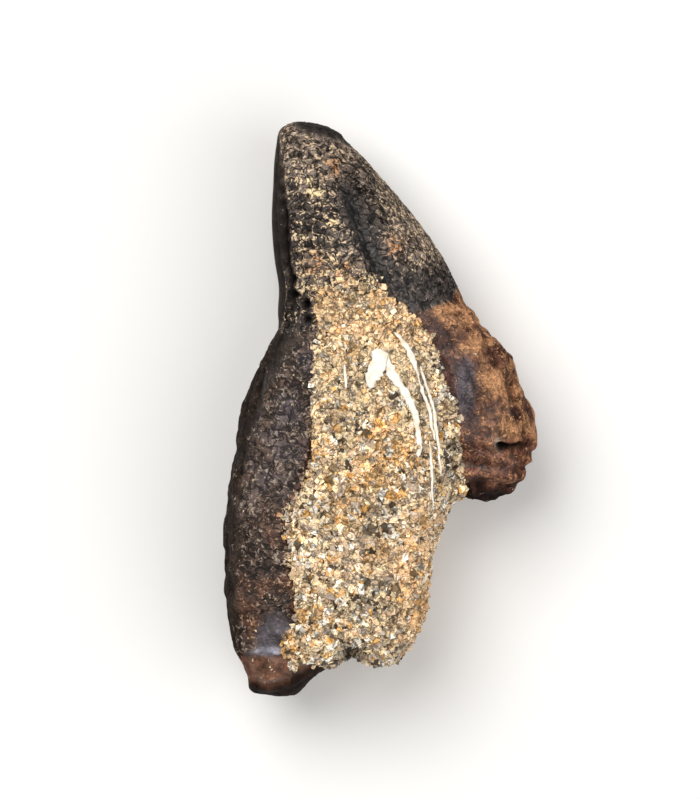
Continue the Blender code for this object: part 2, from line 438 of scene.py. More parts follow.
@dataclass(frozen=True)
class ToothFinish:
    """Fossilised enamel and dentine, a phosphate mineral dulled by burial, with sand stuck to it in places.

    The eye sees a dark ground with black grime in fine squiggly lines, broken by a dull pale film that has
    ragged edges. The mesh's attributes give the colours of both, how much of the ground is covered, and how
    rough it is; only its smoothest parts shine. The ground is painted lighter on raised places and darker in
    hollows: painted light and shade that follow the relief.
    """

    name: str = "fossil_enamel_and_dentine"
    ior: float = 1.63  # apatite
    film_patch: float = 0.52  # the size of the film's larger patches
    film_speck: float = 0.16  # of its smaller ones, near the size of two pixels, so that they still show
    ground_cloud: float = 0.7  # of the ground's lighter and darker clouds
    squiggle: float = 0.66  # of the loops that the grime draws
    worm: float = 0.56  # of the loops that the film and the rubbed crests draw
    loop_widths: tuple[float, float] = (-0.01, 0.15)  # half a loop's width in noise, for no and full cover
    film_height: float = 0.06  # how far the film stands out of the ground
    grime_depth: float = 0.3
    film_rough: float = 0.85
    covers: tuple[float, float] = (0.685, 0.335)  # thresholds of the film's noise for no and for full cover
    crest_lift: float = 0.09  # what a full crest adds to the film's noise

    def build(self) -> bpy.types.Material:
        """Makes the material: the film covers the ground where a noise passes a threshold set by its cover.

        Grime lies where a second noise is near its middle value, which draws closed loops.

        Returns:
            The material.
        """
        material, node = new_material(self.name)
        place = node("TexCoord", output="Object")
        ground, film = (node("Attribute", attribute_name=name) for name in ("ground", "film"))
        cover, rough, lines, raised = (
            node("Attribute", output="Fac", attribute_name=name)
            for name in ("cover", "rough", "lines", "raised")
        )
        patches, specks, clouds, squiggles, worms = (
            node(
                "TexNoise",
                {"Vector": place, "Scale": per_metre(size), "Detail": detail, "Distortion": distortion},
            )
            for size, detail, distortion in (
                (self.film_patch, 2.0, 1.3),
                (self.film_speck, 1.0, 1.0),
                (self.ground_cloud, 4.0, 0.4),
                (self.squiggle, 1.0, 0.7),
                (self.worm, 1.0, 0.8),
            )
        )
        off_grime, off_worm = (
            node("Math", (node("Math", (noise, 0.5), operation="SUBTRACT"),), operation="ABSOLUTE")
            for noise in (squiggles, worms)
        )
        mixed = node("Mix", {0: 0.3, 2: patches, 3: specks})
        lifted = node("Math", (raised, self.crest_lift, mixed), operation="MULTIPLY_ADD")
        threshold = node("MapRange", (cover, 0, 1, *self.covers))
        excess = node("Math", (lifted, threshold), operation="SUBTRACT")
        loop_width = node("MapRange", (cover, 0, 1, *self.loop_widths))
        in_loops = node("Math", (loop_width, off_worm), operation="SUBTRACT")
        amount = node("Math", (excess, 0.5, in_loops), operation="MULTIPLY_ADD")
        covered = node("MapRange", (amount, -0.01, 0.022))
        grime, crest = (
            node("Math", (node("MapRange", (away, near, far, 1, 0)), lines), operation="MULTIPLY")
            for away, near, far in ((off_grime, 0.03, 0.075), (off_worm, 0, 0.05))
        )
        grime_light, crest_light, relief_painted_light, cloud_light, speck_light, film_light = (
            node("MapRange", limits)
            for limits in (
                (grime, 0, 1, 1, 0.1),
                (crest, 0, 1, 1, 3),
                # painted light and shade: the ground is lighter on raised places and darker in hollows
                (raised, -1, 1, 0.55, 1.5),
                (clouds, 0.3, 0.7, 0.5, 1.6),
                (specks, 0.3, 0.72, 0.7, 1.35),
                (specks, 0.3, 0.72, 0.6, 1.3),
            )
        )
        for light in (cloud_light, grime_light, relief_painted_light, crest_light, speck_light):
            ground = node("VectorMath", {0: ground, "Scale": light}, operation="SCALE")
        for light in (film_light, grime_light):
            film = node("VectorMath", {0: film, "Scale": light}, operation="SCALE")
        film_bump = node("Bump", {"Height": covered, "Distance": self.film_height * MM, "Strength": 0.9})
        scored = node("Math", (off_grime, lines), operation="MULTIPLY")
        relief = node("Math", (specks, 0.1, scored), operation="MULTIPLY_ADD")
        scores = {"Height": relief, "Distance": self.grime_depth * MM, "Normal": film_bump}
        inputs = {
            "Base Color": node("Mix", {0: covered, 6: ground, 7: film}, 2, data_type="RGBA"),
            "Roughness": node("Mix", {0: covered, 2: rough, 3: self.film_rough}),
            "Specular IOR Level": node("MapRange", (rough, 0.3, 0.6, 0.45, 0.03)),
            "IOR": self.ior,
            "Normal": node("Bump", scores),
        }
        node("OutputMaterial", (node("BsdfPrincipled", inputs),), None)
        return material


@dataclass(frozen=True)
class GrainFinish:
    """Sand grains, mostly quartz and feldspar, worn by water and stained by iron.

    The eye sees pale, slightly glossy grains, each of its own colour, with brown cement on them in loops.
    """

    name: str = "quartz_and_feldspar_sand"
    ior: float = 1.54  # quartz
    roughness: float = 0.42
    stain: float = 0.13  # the size of the stains and frosting on a grain
    frost_depth: float = 0.006
    squiggle: float = 0.58  # of the loops in which cement still sticks to the grains

    def build(self) -> bpy.types.Material:
        """Makes the material: each grain's colour comes from its attribute, with stains and cement over it.

        Returns:
            The material.
        """
        material, node = new_material(self.name)
        place = node("TexCoord", output="Object")
        grain = node("Attribute", attribute_name="grain")
        stains, loops = (
            node(
                "TexNoise",
                {"Vector": place, "Scale": per_metre(size), "Detail": detail, "Distortion": distortion},
            )
            for size, detail, distortion in ((self.stain, 2.0, 0.0), (self.squiggle, 1.0, 0.8))
        )
        light = node("MapRange", (stains, 0.3, 0.7, 0.66, 1.5))
        stained = node("VectorMath", {0: grain, "Scale": light}, operation="SCALE")
        away = node("Math", (node("Math", (loops, 0.5), operation="SUBTRACT"),), operation="ABSOLUTE")
        cement = node("MapRange", (away, 0.025, 0.07, 0.72, 0))
        tones = {0: cement, 6: stained, 7: Hue.CEMENT_DARK.rgba()}
        inputs = {
            "Base Color": node("Mix", tones, 2, data_type="RGBA"),
            "Roughness": node("MapRange", (stains, 0.3, 0.7, self.roughness + 0.25, self.roughness - 0.1)),
            "IOR": self.ior,
            "Normal": node("Bump", {"Height": stains, "Distance": self.frost_depth * MM, "Strength": 1.0}),
        }
        node("OutputMaterial", (node("BsdfPrincipled", inputs),), None)
        return material


@dataclass(frozen=True)
class PowderFinish:
    """A dull mineral powder, such as the clay and iron cement of sandstone or chalky calcite.

    The eye sees no gloss, only soft clouds between a light and a dark tone and a fine crumbly relief.
    """

    name: str
    light: Hue
    dark: Hue
    cloud: float  # the size of the clouds
    crumb: float  # of the crumbs
    crumb_depth: float
    roughness: float = 0.95

    def build(self) -> bpy.types.Material:
        """Makes the material: two tones blended by a noise, with a second noise as relief.

        Returns:
            The material.
        """
        material, node = new_material(self.name)
        place = node("TexCoord", output="Object")
        clouds, crumbs = (
            node("TexNoise", {"Vector": place, "Scale": per_metre(size), "Detail": 3.0})
            for size in (self.cloud, self.crumb)
        )
        share = node("MapRange", (clouds, 0.35, 0.65))
        tones = {0: share, 6: self.dark.rgba(), 7: self.light.rgba()}
        inputs = {
            "Base Color": node("Mix", tones, 2, data_type="RGBA"),
            "Roughness": self.roughness,
            "Normal": node("Bump", {"Height": crumbs, "Distance": self.crumb_depth * MM, "Strength": 1.0}),
        }
        node("OutputMaterial", (node("BsdfPrincipled", inputs),), None)
        return material


@dataclass(frozen=True)
class Limb:
    """A loft across Y through stations, with rounded ends: a root, a crown, or the rock between them."""

    stations: Rows  # y, left X, right X, X of the crest, half the thickness
    squareness: Rows  # left and right, at top and foot: 2 is an ellipse
    end_radii: tuple[float, float]
    grid: tuple[int, int]  # rings along Y, and points round each ring
    underside: float = 1.0  # the lower half's thickness as a share of the upper half's
    bunching: float = 0.8  # 0 spaces the rings evenly, 1 crowds them at both ends

    def table(self) -> np.ndarray:
        """The stations as an array, one row each."""
        return np.array(self.stations)

    def section(self, y: np.ndarray) -> tuple[np.ndarray, ...]:
        """The section at each y.

        Args:
            y: where the sections stand; beyond the ends, the end section is given.

        Returns:
            Left X, right X, the crest's X, and half the thickness.
        """
        table = self.table()
        inside = np.clip(y, table[-1, 0], table[0, 0])
        return tuple(through(table[:, 0], table[:, column], inside) for column in range(1, 5))

    def powers(self, y: np.ndarray, across: np.ndarray) -> np.ndarray:
        """The superellipse's power, which changes evenly along the limb.

        Args:
            y: where it is wanted.
            across: the place beside the crest, whose sign tells the side.

        Returns:
            One power for each place.
        """
        top, foot = self.stations[0][0], self.stations[-1][0]
        share = np.clip((y - top) / (foot - top), 0, 1)
        at_top, at_foot = np.array(self.squareness)
        left, right = (at_top[k] + (at_foot[k] - at_top[k]) * share for k in (0, 1))
        return np.where(across < 0, left, right)

    def fullness(self, points: np.ndarray, grow: float = 0.0) -> np.ndarray:
        """How far out in the section a point lies: 1 on the surface, less inside, more outside.

        It is ((|x| / half width) ** n + (|z| / half thickness) ** n) ** (1 / n), with x and z from the crest.

        Args:
            points: places in millimetres.
            grow: how far the surface is moved outwards first.

        Returns:
            One number for each point, 9 beyond the limb's ends.
        """
        x, y, z = points.T
        left, right, crest, half = self.section(y)
        across, up = x - crest, z - MIDDLE_Z
        width = np.where(across < 0, crest - left, right - crest) + grow
        thickness = np.where(up < 0, half * self.underside, half) + grow
        power = self.powers(y, across)
        full = ((np.abs(across) / width) ** power + (np.abs(up) / thickness) ** power) ** (1 / power)
        beyond = (y > self.stations[0][0] + grow) | (y < self.stations[-1][0] - grow)
        return np.where(beyond, 9.0, full)

    def shell(self, grow: float = 0.0) -> tuple[np.ndarray, list[list[int]]]:
        """The closed surface as a grid of two parameters, the ring and the angle round it.

        A point's distance from the crest's axis is that of a superellipse, times a quarter circle near
        either end.

        Args:
            grow: how far the surface is moved outwards.

        Returns:
            The points, in millimetres, and the faces: quads, with a fan of triangles at each end.
        """
        rings, around = self.grid
        top, foot = self.stations[0][0] + grow, self.stations[-1][0] - grow
        t = (np.arange(rings) + 0.5) / rings
        y = top + (foot - top) * (t - self.bunching * np.sin(2 * np.pi * t) / (2 * np.pi))
        left, right, crest, half = (value[:, None] for value in self.section(y))
        radii = np.array(self.end_radii) + grow
        size = np.prod([self.rounding(top - y, radii[0]), self.rounding(y - foot, radii[1])], axis=0)
        angle = np.linspace(0, 2 * np.pi, around, endpoint=False)[None, :]
        across, up = np.cos(angle), np.sin(angle)
        power = self.powers(y[:, None], across)
        width = np.where(across < 0, crest - left, right - crest) + grow
        thickness = np.where(up < 0, half * self.underside, half) + grow
        reach = ((np.abs(across) / width) ** power + (np.abs(up) / thickness) ** power) ** (-1 / power)
        reach *= size[:, None]
        points = np.stack(
            [crest + reach * across, y[:, None] + 0 * reach, MIDDLE_Z + reach * up], axis=-1
        ).reshape(-1, 3)
        poles = np.array([[crest[0, 0], top, MIDDLE_Z], [crest[-1, 0], foot, MIDDLE_Z]])
        return np.concatenate([points, poles]), self.shell_faces()

    @staticmethod
    def rounding(distance: np.ndarray, radius: float) -> np.ndarray:
        """A section's share of its full size, at a distance from a rounded end: a quarter circle, then 1."""
        return np.sqrt(1 - (1 - np.clip(distance / radius, 0, 1)) ** 2)

    def shell_faces(self) -> list[list[int]]:
        """The grid's faces, all pointing outwards.

        Returns:
            The quads, then a fan of triangles for each end.
        """
        rings, around = self.grid
        j = np.arange(around)
        k = (j + 1) % around
        last = (rings - 1) * around
        top = np.stack([np.full(around, rings * around), j, k], axis=-1)
        foot = np.stack([np.full(around, rings * around + 1), last + k, last + j], axis=-1)
        return tube_quads(rings, around).tolist() + top.tolist() + foot.tolist()


LONG_LIMB = Limb(
    stations=(
        (20.0, -7.1, -3.5, -5.6, 3.0),
        (18.7, -7.3, -2.5, -5.5, 4.1),
        (17.4, -7.5, -1.2, -5.3, 5.1),
        (15.6, -7.6, 0.4, -5.0, 6.1),
        (13.2, -7.7, 2.4, -4.4, 7.0),
        (10.4, -7.5, 4.3, -3.9, 7.6),
        (8.3, -7.2, 5.3, -3.6, 7.7),
        (6.9, -7.3, 5.6, -3.5, 7.5),
        (5.5, -7.4, 4.4, -3.9, 7.1),
        (4.1, -8.1, 2.0, -4.6, 6.8),
        (2.4, -9.0, -0.7, -5.3, 6.6),
        (0.6, -9.7, -2.2, -5.9, 6.5),
        (-2.9, -10.3, -3.2, -6.5, 6.5),
        (-6.3, -10.8, -4.1, -7.1, 6.4),
        (-9.5, -11.0, -4.8, -7.4, 6.2),
        (-12.6, -10.9, -4.8, -7.6, 5.8),
        (-15.4, -10.6, -4.4, -7.6, 5.3),
        (-17.1, -10.3, -3.3, -7.4, 4.8),
        (-18.2, -9.7, -4.1, -7.4, 4.2),
        (-19.0, -9.6, -5.1, -7.4, 3.5),
        (-20.0, -9.6, -5.3, -7.4, 2.6),
    ),
    squareness=((3.4, 2.0), (3.4, 3.4)),
    end_radii=(1.0, 1.0),
    grid=(180, 160),
)
SHORT_LIMB = Limb(
    stations=(
        (12.0, -2.4, 0.6, -0.9, 2.6),
        (9.6, -0.9, 3.3, 1.4, 4.3),
        (7.6, 0.3, 5.4, 2.9, 5.7),
        (6.2, 0.6, 6.5, 3.5, 6.2),
        (4.8, 1.0, 7.9, 4.2, 6.2),
        (3.4, 1.5, 9.0, 4.9, 6.1),
        (1.3, 2.3, 9.7, 5.6, 5.9),
        (-0.1, 2.7, 10.4, 6.2, 5.7),
        (-1.5, 3.0, 10.6, 6.7, 5.5),
        (-2.3, 3.1, 10.7, 7.0, 5.3),
        (-3.2, 3.2, 10.4, 7.0, 4.6),
        (-4.3, 3.4, 10.0, 6.9, 4.3),
        (-5.2, 3.5, 9.4, 6.6, 3.9),
        (-6.2, 3.8, 8.6, 6.3, 3.0),
    ),
    squareness=((2.2, 2.2), (2.6, 2.6)),
    end_radii=(1.0, 0.9),
    grid=(110, 120),
)
SANDSTONE_LIMB = Limb(
    stations=(
        (8.6, -4.3, -0.1, -2.2, 5.5),
        (6.9, -5.7, 1.3, -2.2, 6.6),
        (5.5, -6.4, 2.3, -2.2, 7.0),
        (3.4, -6.9, 3.9, -1.8, 7.2),
        (0.6, -7.1, 5.1, -1.5, 7.3),
        (-2.2, -7.2, 5.4, -1.2, 7.4),
        (-4.3, -7.4, 5.5, -1.2, 7.4),
        (-5.6, -7.8, 5.6, -1.4, 7.3),
        (-7.0, -8.1, 5.0, -1.6, 7.3),
        (-9.1, -8.2, 4.0, -2.2, 7.1),
        (-11.9, -8.3, 3.3, -2.5, 6.9),
        (-13.3, -8.3, 3.3, -2.5, 6.7),
        (-14.7, -8.2, 2.8, -2.5, 6.4),
        (-16.1, -7.8, 2.3, -2.5, 6.0),
        (-17.1, -6.7, 1.6, -2.5, 5.4),
        (-18.1, -4.3, 0.9, -1.8, 4.4),
    ),
    squareness=((2.6, 2.6), (2.6, 2.6)),
    end_radii=(1.0, 0.8),
    grid=(110, 110),
    underside=1.06,
)


class Moulder:
    """Joins and cuts closed shells, and gives back one even mesh in millimetres."""

    @staticmethod
    def block(name: str, shells: list[tuple[np.ndarray, list]]) -> bpy.types.Object:
        """One object that holds several shells, in millimetres.

        Args:
            name: the object's name.
            shells: each shell's points and faces.

        Returns:
            The object, in the scene.
        """
        points = np.concatenate([shell[0] for shell in shells])
        faces, first = [], 0
        for shell_points, shell_faces in shells:
            faces += [tuple(first + corner for corner in face) for face in shell_faces]
            first += len(shell_points)
        mesh = bpy.data.meshes.new(name)
        mesh.from_pydata(points.tolist(), [], faces)
        made = bpy.data.objects.new(name, mesh)
        bpy.context.scene.collection.objects.link(made)
        return made

    @classmethod
    def even_mesh(cls, name: str, shells: list, cut_by: list, voxel: float, melt: int) -> Surface:
        """Fuses shells, cuts others away, and remeshes what is left with even quads.

        Args:
            name: the name of the working object.
            shells: the shells that are fused.
            cut_by: the shells that are cut away.
            voxel: the size of a quad, in millimetres.
            melt: how many times the new mesh is smoothed.

        Returns:
            The surface, in millimetres.
        """
        block = cls.block(name, shells)
        for k, shell in enumerate(cut_by):
            cutter = cls.block(f"{name}_cutter_{k}", [shell])
            cut = block.modifiers.new("cut", "BOOLEAN")
            cut.object, cut.operation, cut.solver = cutter, "DIFFERENCE", "EXACT"
        remesh = block.modifiers.new("even", "REMESH")
        remesh.mode, remesh.voxel_size = "VOXEL", voxel
        smoothing = block.modifiers.new("melt", "SMOOTH")
        smoothing.factor, smoothing.iterations = 0.5, melt
        depsgraph = bpy.context.evaluated_depsgraph_get()
        mesh = bpy.data.meshes.new_from_object(block.evaluated_get(depsgraph), depsgraph=depsgraph)
        result = Surface.of(mesh)
        bpy.data.meshes.remove(mesh)
        for used in [o for o in bpy.data.objects if o.name.startswith(name)]:
            bpy.data.objects.remove(used, do_unlink=True)
        return result


@dataclass(frozen=True)
class Skin:
    """What a zone of the tooth is made of, and what clings to it."""

    ground: Hue
    film: Hue
    cover: float  # the share that the film covers
    rough: float  # the ground's roughness
    lines: float = 0.15  # how plainly grime and rubbed crests draw their loops


class Coat:
    """The tooth's colours, laid zone over zone."""

    def __init__(self, points: np.ndarray, normals: np.ndarray, skin: Skin) -> None:
        """Starts with one skin all over.

        Args:
            points: the tooth's points, in millimetres.
            normals: their normals.
            skin: what they all get first.
        """
        count = len(points)
        self.points = points
        self.up = np.clip(np.abs(normals[:, 2]) * 1.4, 0, 1)  # how far each point faces up or down
        self.wander = rough_noise(points, 1.6, 41)  # breaks the edges of the zones
        self.ground = np.tile(skin.ground.linear(), (count, 1))
        self.film = np.tile(skin.film.linear(), (count, 1))
        self.cover = np.full(count, skin.cover)
        self.rough = np.full(count, skin.rough)
        self.lines = np.full(count, skin.lines)
        self.raised = np.zeros(count)

    def lay(self, skin: Skin, mask: np.ndarray) -> None:
        """Lays a skin over the others: each value moves to the skin's by the mask's share.

        Args:
            skin: what is laid.
            mask: how strongly, from 0 to 1 for each vertex.
        """
        share = mask[:, None]
        self.ground += (skin.ground.linear() - self.ground) * share
        self.film += (skin.film.linear() - self.film) * share
        self.cover += (skin.cover - self.cover) * mask
        self.rough += (skin.rough - self.rough) * mask
        self.lines += (skin.lines - self.lines) * mask

    def lay_spots(
        self,
        skin: Skin,
        spots: Iterable[tuple[float, ...]],
        strength: float,
        uneven: np.ndarray | float = 0.0,
        squash: float = 1.0,
        zone: np.ndarray | float = 1.0,
    ) -> None:
        """Lays a skin on spots of the upper side, each a bell round its middle, cut off at 1.

        Args:
            skin: what is laid.
            spots: x, y and radius of each.
            strength: the bell's height.
            uneven: how much longer the distance from the middle is taken to be, as a share.
            squash: how much wider than high a spot is.
            zone: where the spots show.
        """
        for x, y, radius in spots:
            away = np.hypot(self.points[:, 0] - x, squash * (self.points[:, 1] - y)) * (1 + uneven)
            self.lay(skin, np.clip(strength * (bell(away, radius) * self.up), 0, 1) * zone)

    def store(self, made: bpy.types.Object) -> None:
        """Writes the six values to the object's mesh, one attribute each."""
        for name in ("ground", "film", "cover", "rough", "lines", "raised"):
            set_attribute(made, name, getattr(self, name))


@dataclass
class Tooth:
    """The crown and its two roots, one grown piece."""

    voxel: float = 0.165
    melt: int = 1
    room: float = 0.22  # left under the top of the box, for the sand that clings to the crown
    neck: Rows = ((-8.0, 5.3), (-4.0, 5.6), (1.3, 6.4), (3.0, 6.8), (5.6, 8.1))  # x, y
    groove: Rows = ((17.0, -2.5), (14.6, -2.1), (11.8, -1.1), (9.8, -0.2), (7.6, 1.0))  # y, x, like the next
    root_ridge: Rows = ((5.2, -5.7), (0.6, -8.3), (-5.0, -9.65), (-10.5, -9.86), (-16.1, -10.0))
    enamel_edge: Rows = (
        (19.5, -7.25), (17.0, -7.0), (14.5, -6.85), (11.8, -6.65), (9.0, -6.35), (7.0, -6.35), (5.0, -6.6)
    )  # where the edge of the enamel plate shows from above
    pits: Rows = (
        (-6.05, 7.9, 0.27, 0.6, 0.32), (-5.2, 7.2, 0.27, 0.55, 0.32),
        (-5.1, 6.1, 0.22, 0.45, 0.26), (-6.1, 9.0, 0.2, 0.4, 0.24),
    )  # on the crown: x, y, radius, depth, and the radius of the black painted shade in it
    cream_spots: Rows = ((-5.2, 15.6, 0.5), (-4.6, 14.9, 0.6), (-3.4, 12.8, 0.4), (-5.4, 12.0, 0.4))
    orange_spots: Rows = (
        (-3.2, 16.8, 0.8), (-4.6, 9.9, 0.9), (-2.4, 9.6, 0.7), (0.9, 11.2, 0.7), (-4.0, 7.6, 0.8)
    )  # and cream ones on the crown, as x, y and radius
    dark_spots: Rows = (
        (4.5, 4.6, 1.0), (7.9, 3.8, 0.55), (6.7, 6.2, 0.5), (9.5, -0.2, 0.9), (5.9, -2.1, 0.7),
        (8.8, -4.4, 1.0),
    )
    light_spots: Rows = (
        (7.7, 2.0, 0.9), (8.9, -1.4, 0.6), (4.6, 6.9, 0.7), (6.3, 4.5, 0.6), (6.7, -0.7, 0.5)
    )  # and dark ones on the short root
    slit_y: float = -2.62  # of the slit in the short root's broken end
    fibre_from: tuple[float, float] = (4.4, 7.6)  # a point on the short root's axis
    fibre_along: tuple[float, float] = (0.385, -0.923)  # the axis's direction
    crest_height: float = 0.06  # how far above its surroundings a place counts as fully raised
    edge_dulling: float = 0.3  # how much rougher steep sides are

    def enamel_edge_x(self, points: np.ndarray) -> np.ndarray:
        """X of the enamel plate's edge beside each point, wandering a little."""
        return line_at(self.enamel_edge, points[:, 1]) + 0.1 * rough_noise(points, 1.1, 17)

    def neck_y(self, x: np.ndarray) -> np.ndarray:
        """Y of the line round the neck where the crown's enamel ends."""
        xs, ys = np.array(self.neck).T
        return np.interp(x, xs, ys)

    def short_root_places(self, points: np.ndarray) -> np.ndarray:
        """Places turned to the short root's axis: across it, along it, and up.

        The axis is bent by 0.29 a - 0.022 a ** 2 at a distance a along it, as the root's fibres are.

        Args:
            points: places in the row's frame.

        Returns:
            The same places in the root's own frame.
        """
        dx, dy = points[:, 0] - self.fibre_from[0], points[:, 1] - self.fibre_from[1]
        ux, uy = self.fibre_along
        along = dx * ux + dy * uy
        return np.stack([dy * ux - dx * uy - 0.29 * along + 0.022 * along**2, along, points[:, 2]], axis=-1)

    def crown_relief(self, points: np.ndarray, up: np.ndarray, left: np.ndarray) -> np.ndarray:
        """The crown's flutes, groove, wear wrinkles, enamel edge and pits, as heights.

        The wrinkles are waves along y + 0.05 (x + 4.5) ** 2, which bends them into arcs; the rest are bells
        round lines and points.

        Args:
            points: places in millimetres.
            up: how far each place faces up or down, from 0 to 1.
            left: how far it faces the enamel side.

        Returns:
            How far each point moves outwards, in millimetres.
        """
        x, y, z = points.T
        crown = above(y, self.neck_y(x) + 0.6, 0.3)
        high = above(-y, -18.0, 0.5)
        off_keel = np.abs(z - MIDDLE_Z) / LONG_LIMB.section(y)[3]
        flutes = bell(off_keel - 0.42, 0.24) * left**2
        ribs = np.cos(2 * np.pi * off_keel / 0.2) * above(off_keel, 0.3, 0.05) * above(-off_keel, -0.85, 0.05)
        teeth = np.cos(2 * np.pi * y / 1.05) * bell(off_keel - 0.88, 0.08)
        groove = bell(x - line_at(self.groove, y), 0.9) * up
        arcs = y + 0.05 * (x + 4.5) ** 2 + 0.35 * smooth_noise(points, 1.6, 11)
        in_arcs = above(y, 7.6, 0.4) * above(-y, -14.4, 0.6) * above(-x, 2.2 - 0.12 * y, 0.3) * up
        wrinkles = np.cos(2 * np.pi * arcs / 0.84) * (0.5 + 0.5 * smooth_noise(points, 2.1, 12))
        edge_x = self.enamel_edge_x(points)
        edge = bell(x - edge_x, 0.17) * up * above(y, 7.0, 0.4) * above(-y, -18.6, 0.3)
        face = crown * above(x, edge_x, 0.1)
        frets = 0.5 - 2 * np.abs(smooth_noise(points, (0.62, 0.46, 0.5), 14))
        frets += 0.35 - np.abs(smooth_noise(points, 0.3, 15))
        pits = np.zeros(len(points))
        for px, py, radius, depth, _ in self.pits:
            reach = np.hypot(x - px, y - py) * (1 + 0.4 * smooth_noise(points, 0.4, 16))
            pits += depth * bell(reach, radius) * up
        return (
            crown * high * (-0.95 * flutes - 0.6 * groove + (0.09 * ribs + 0.12 * teeth) * left**2)
            + 0.17 * wrinkles * in_arcs * (x > edge_x)
            + 0.09 * frets * face
            - 0.34 * edge
            - pits
        )

    def root_relief(self, points: np.ndarray, up: np.ndarray, left: np.ndarray) -> np.ndarray:
        """The roots' lumps, hollow, fibres, broken end, slit and worn tip, as heights.

        Args:
            points: places in millimetres.
            up: how far each place faces up or down, from 0 to 1.
            left: how far it faces the enamel side.

        Returns:
            How far each point moves outwards, in millimetres.
        """
        x, y, z = points.T
        roots = above(-y, -self.neck_y(x), 0.6)
        long_root = roots * (x < -1.0)
        short_root = roots * (x > 0.2)
        lumps = 0.24 * smooth_noise(points, (1.8, 4.4, 1.8), 21) + 0.13 * smooth_noise(points, 1.1, 22)
        lumps += 0.09 * smooth_noise(points, 0.55, 30) * (x < -1.0)
        hollow = bell(z - MIDDLE_Z, 2.0) * left**2
        side = above(-x, -line_at(self.root_ridge, y), 0.12)
        striae = smooth_noise(points, (0.5, 5.0, 0.5), 23) * side
        tip = above(-y, 16.95 + 0.25 * smooth_noise(points, 1.2, 24), 0.07) * up
        own = self.short_root_places(points)
        fibres = 1 - 2 * np.abs(smooth_noise(own, (0.75, 4.2, 0.9), 25))
        fibres += 0.5 * (1 - 2 * np.abs(smooth_noise(own, (0.36, 2.6, 0.5), 26)))
        band = bell(own[:, 0] + 2.6, 1.0) * above(-y, 0.9, 0.6) * up
        slit = bell(y - self.slit_y + 0.1 * np.sin(3 * x), 0.2) * above(x, 8.0, 0.15)
        slit *= above(-x, -10.1, 0.15) * up
        ledges = np.cos(2 * np.pi * (y + 0.3 * smooth_noise(points, 1.5, 27)) / 1.15) * above(-y, 2.6, 0.3)
        knobs = 0.3 * smooth_noise(own, (1.1, 1.6, 1.1), 28) + 0.12 * smooth_noise(points, 0.6, 29)
        return (
            roots * lumps
            + long_root * ((0.07 + 0.09 * left) * striae - 0.6 * hollow - 0.42 * tip)
            + short_root * (0.14 * (fibres - 0.4) * (1 - 0.75 * band) - 0.3 * band)
            + short_root * (0.16 * ledges - 0.85 * slit + knobs)
        )

    @staticmethod
    def smoothed(values: np.ndarray, quads: np.ndarray, rounds: int = 6) -> np.ndarray:
        """Values of vertices averaged over their faces, again and again, which leaves only the broad forms.

        Args:
            values: one number for each vertex.
            quads: the faces' corners.
            rounds: how many times they are averaged.

        Returns:
            The averaged values.
        """
        count = np.bincount(quads.ravel(), minlength=len(values))
        for _ in range(rounds):
            faces = np.repeat(values[quads].mean(axis=1), 4)
            values = np.bincount(quads.ravel(), faces, len(values)) / count
        return values

    def stipple(self, points: np.ndarray, up: np.ndarray, coat: Coat) -> np.ndarray:
        """Fine pits and crumbs, deepest where the film is thick: 0.5 minus the distance in a cell noise.

        Args:
            points: places in millimetres.
            up: how far each place faces up or down, from 0 to 1.
            coat: tells how thick the film is.

        Returns:
            How far each point moves outwards, in millimetres.
        """
        crumbs = 0.5 - cell_noise(points, 0.42, 31) + 0.4 * smooth_noise(points, 0.22, 35)
        depth = 0.03 + 0.13 * np.clip(coat.cover, 0, 1)
        return crumbs * depth * np.clip(2.2 * coat.rough - 0.6, 0.1, 1) * (0.3 + 0.7 * up)

    def lay_long_root(self, coat: Coat) -> None:
        """Lays the long root's zones: brown and violet-grey front, smooth side, grey patch and red tip, with
        painted shade on the tip's steep sides and round its end, and a painted highlight on the ledge above
        it.

        Args:
            coat: what they are laid on.
        """
        points, up, wander = coat.points, coat.up, coat.wander
        x, y, _ = points.T
        greyish = above(wander, 0.1, 0.12) * above(y, -7.0, 1.5)
        coat.lay(Skin(Hue.ROOT_GREY, Hue.FILM_GREY, 0.38, 0.5, 0.85), greyish)
        coat.lay(Skin(Hue.ROOT_LOW, Hue.FILM_GREY, 0.38, 0.52, 0.85), above(-y, 8.0 + 2 * wander, 0.8))
        mottles = smooth_noise(points, 1.5, 56) + 0.6 * smooth_noise(points, 0.6, 57)
        rusty = 0.75 * above(mottles, 0.15, 0.12) * above(-y, 8.5 + 2 * wander, 0.8)
        coat.lay(Skin(Hue.ROOT_RUST, Hue.FIBRE_TAN, 0.32, 0.5, 0.6), rusty)
        side = above(-x, -line_at(self.root_ridge, y) + 0.1 * wander, 0.15)
        coat.lay(Skin(Hue.ROOT_SIDE, Hue.FILM_GREY, 0.15, 0.45, 0.4), side)
        beside = line_at(Sandstone.left_edge, y) - x
        dusty = above(-beside, -0.5 - 0.35 * wander, 0.12) * above(-y, 1.5, 1.0) * above(y, -14.2, 0.5) * up
        coat.lay(Skin(Hue.ROOT_RUST, Hue.FILM_TAN, 0.46, 0.6, 0.8), 0.9 * dusty * (x < 0))
        patch = np.hypot((x + 7.3) / 1.3, (y + 15.5) / 1.5) + 0.3 * wander
        coat.lay(Skin(Hue.BAND_GREY, Hue.FILM_GREY, 0.12, 0.44, 0.3), above(-patch, -1.0, 0.08) * up)
        tip = above(-y, 16.9 + (0.2 + 0.9 * (1 - up)) * wander, 0.12)
        coat.lay(Skin(Hue.ROOT_TIP, Hue.FILM_TAN, 0.18, 0.33), tip)
        mottles = smooth_noise(points, 1.4, 49) + 0.6 * smooth_noise(points, 0.6, 50)
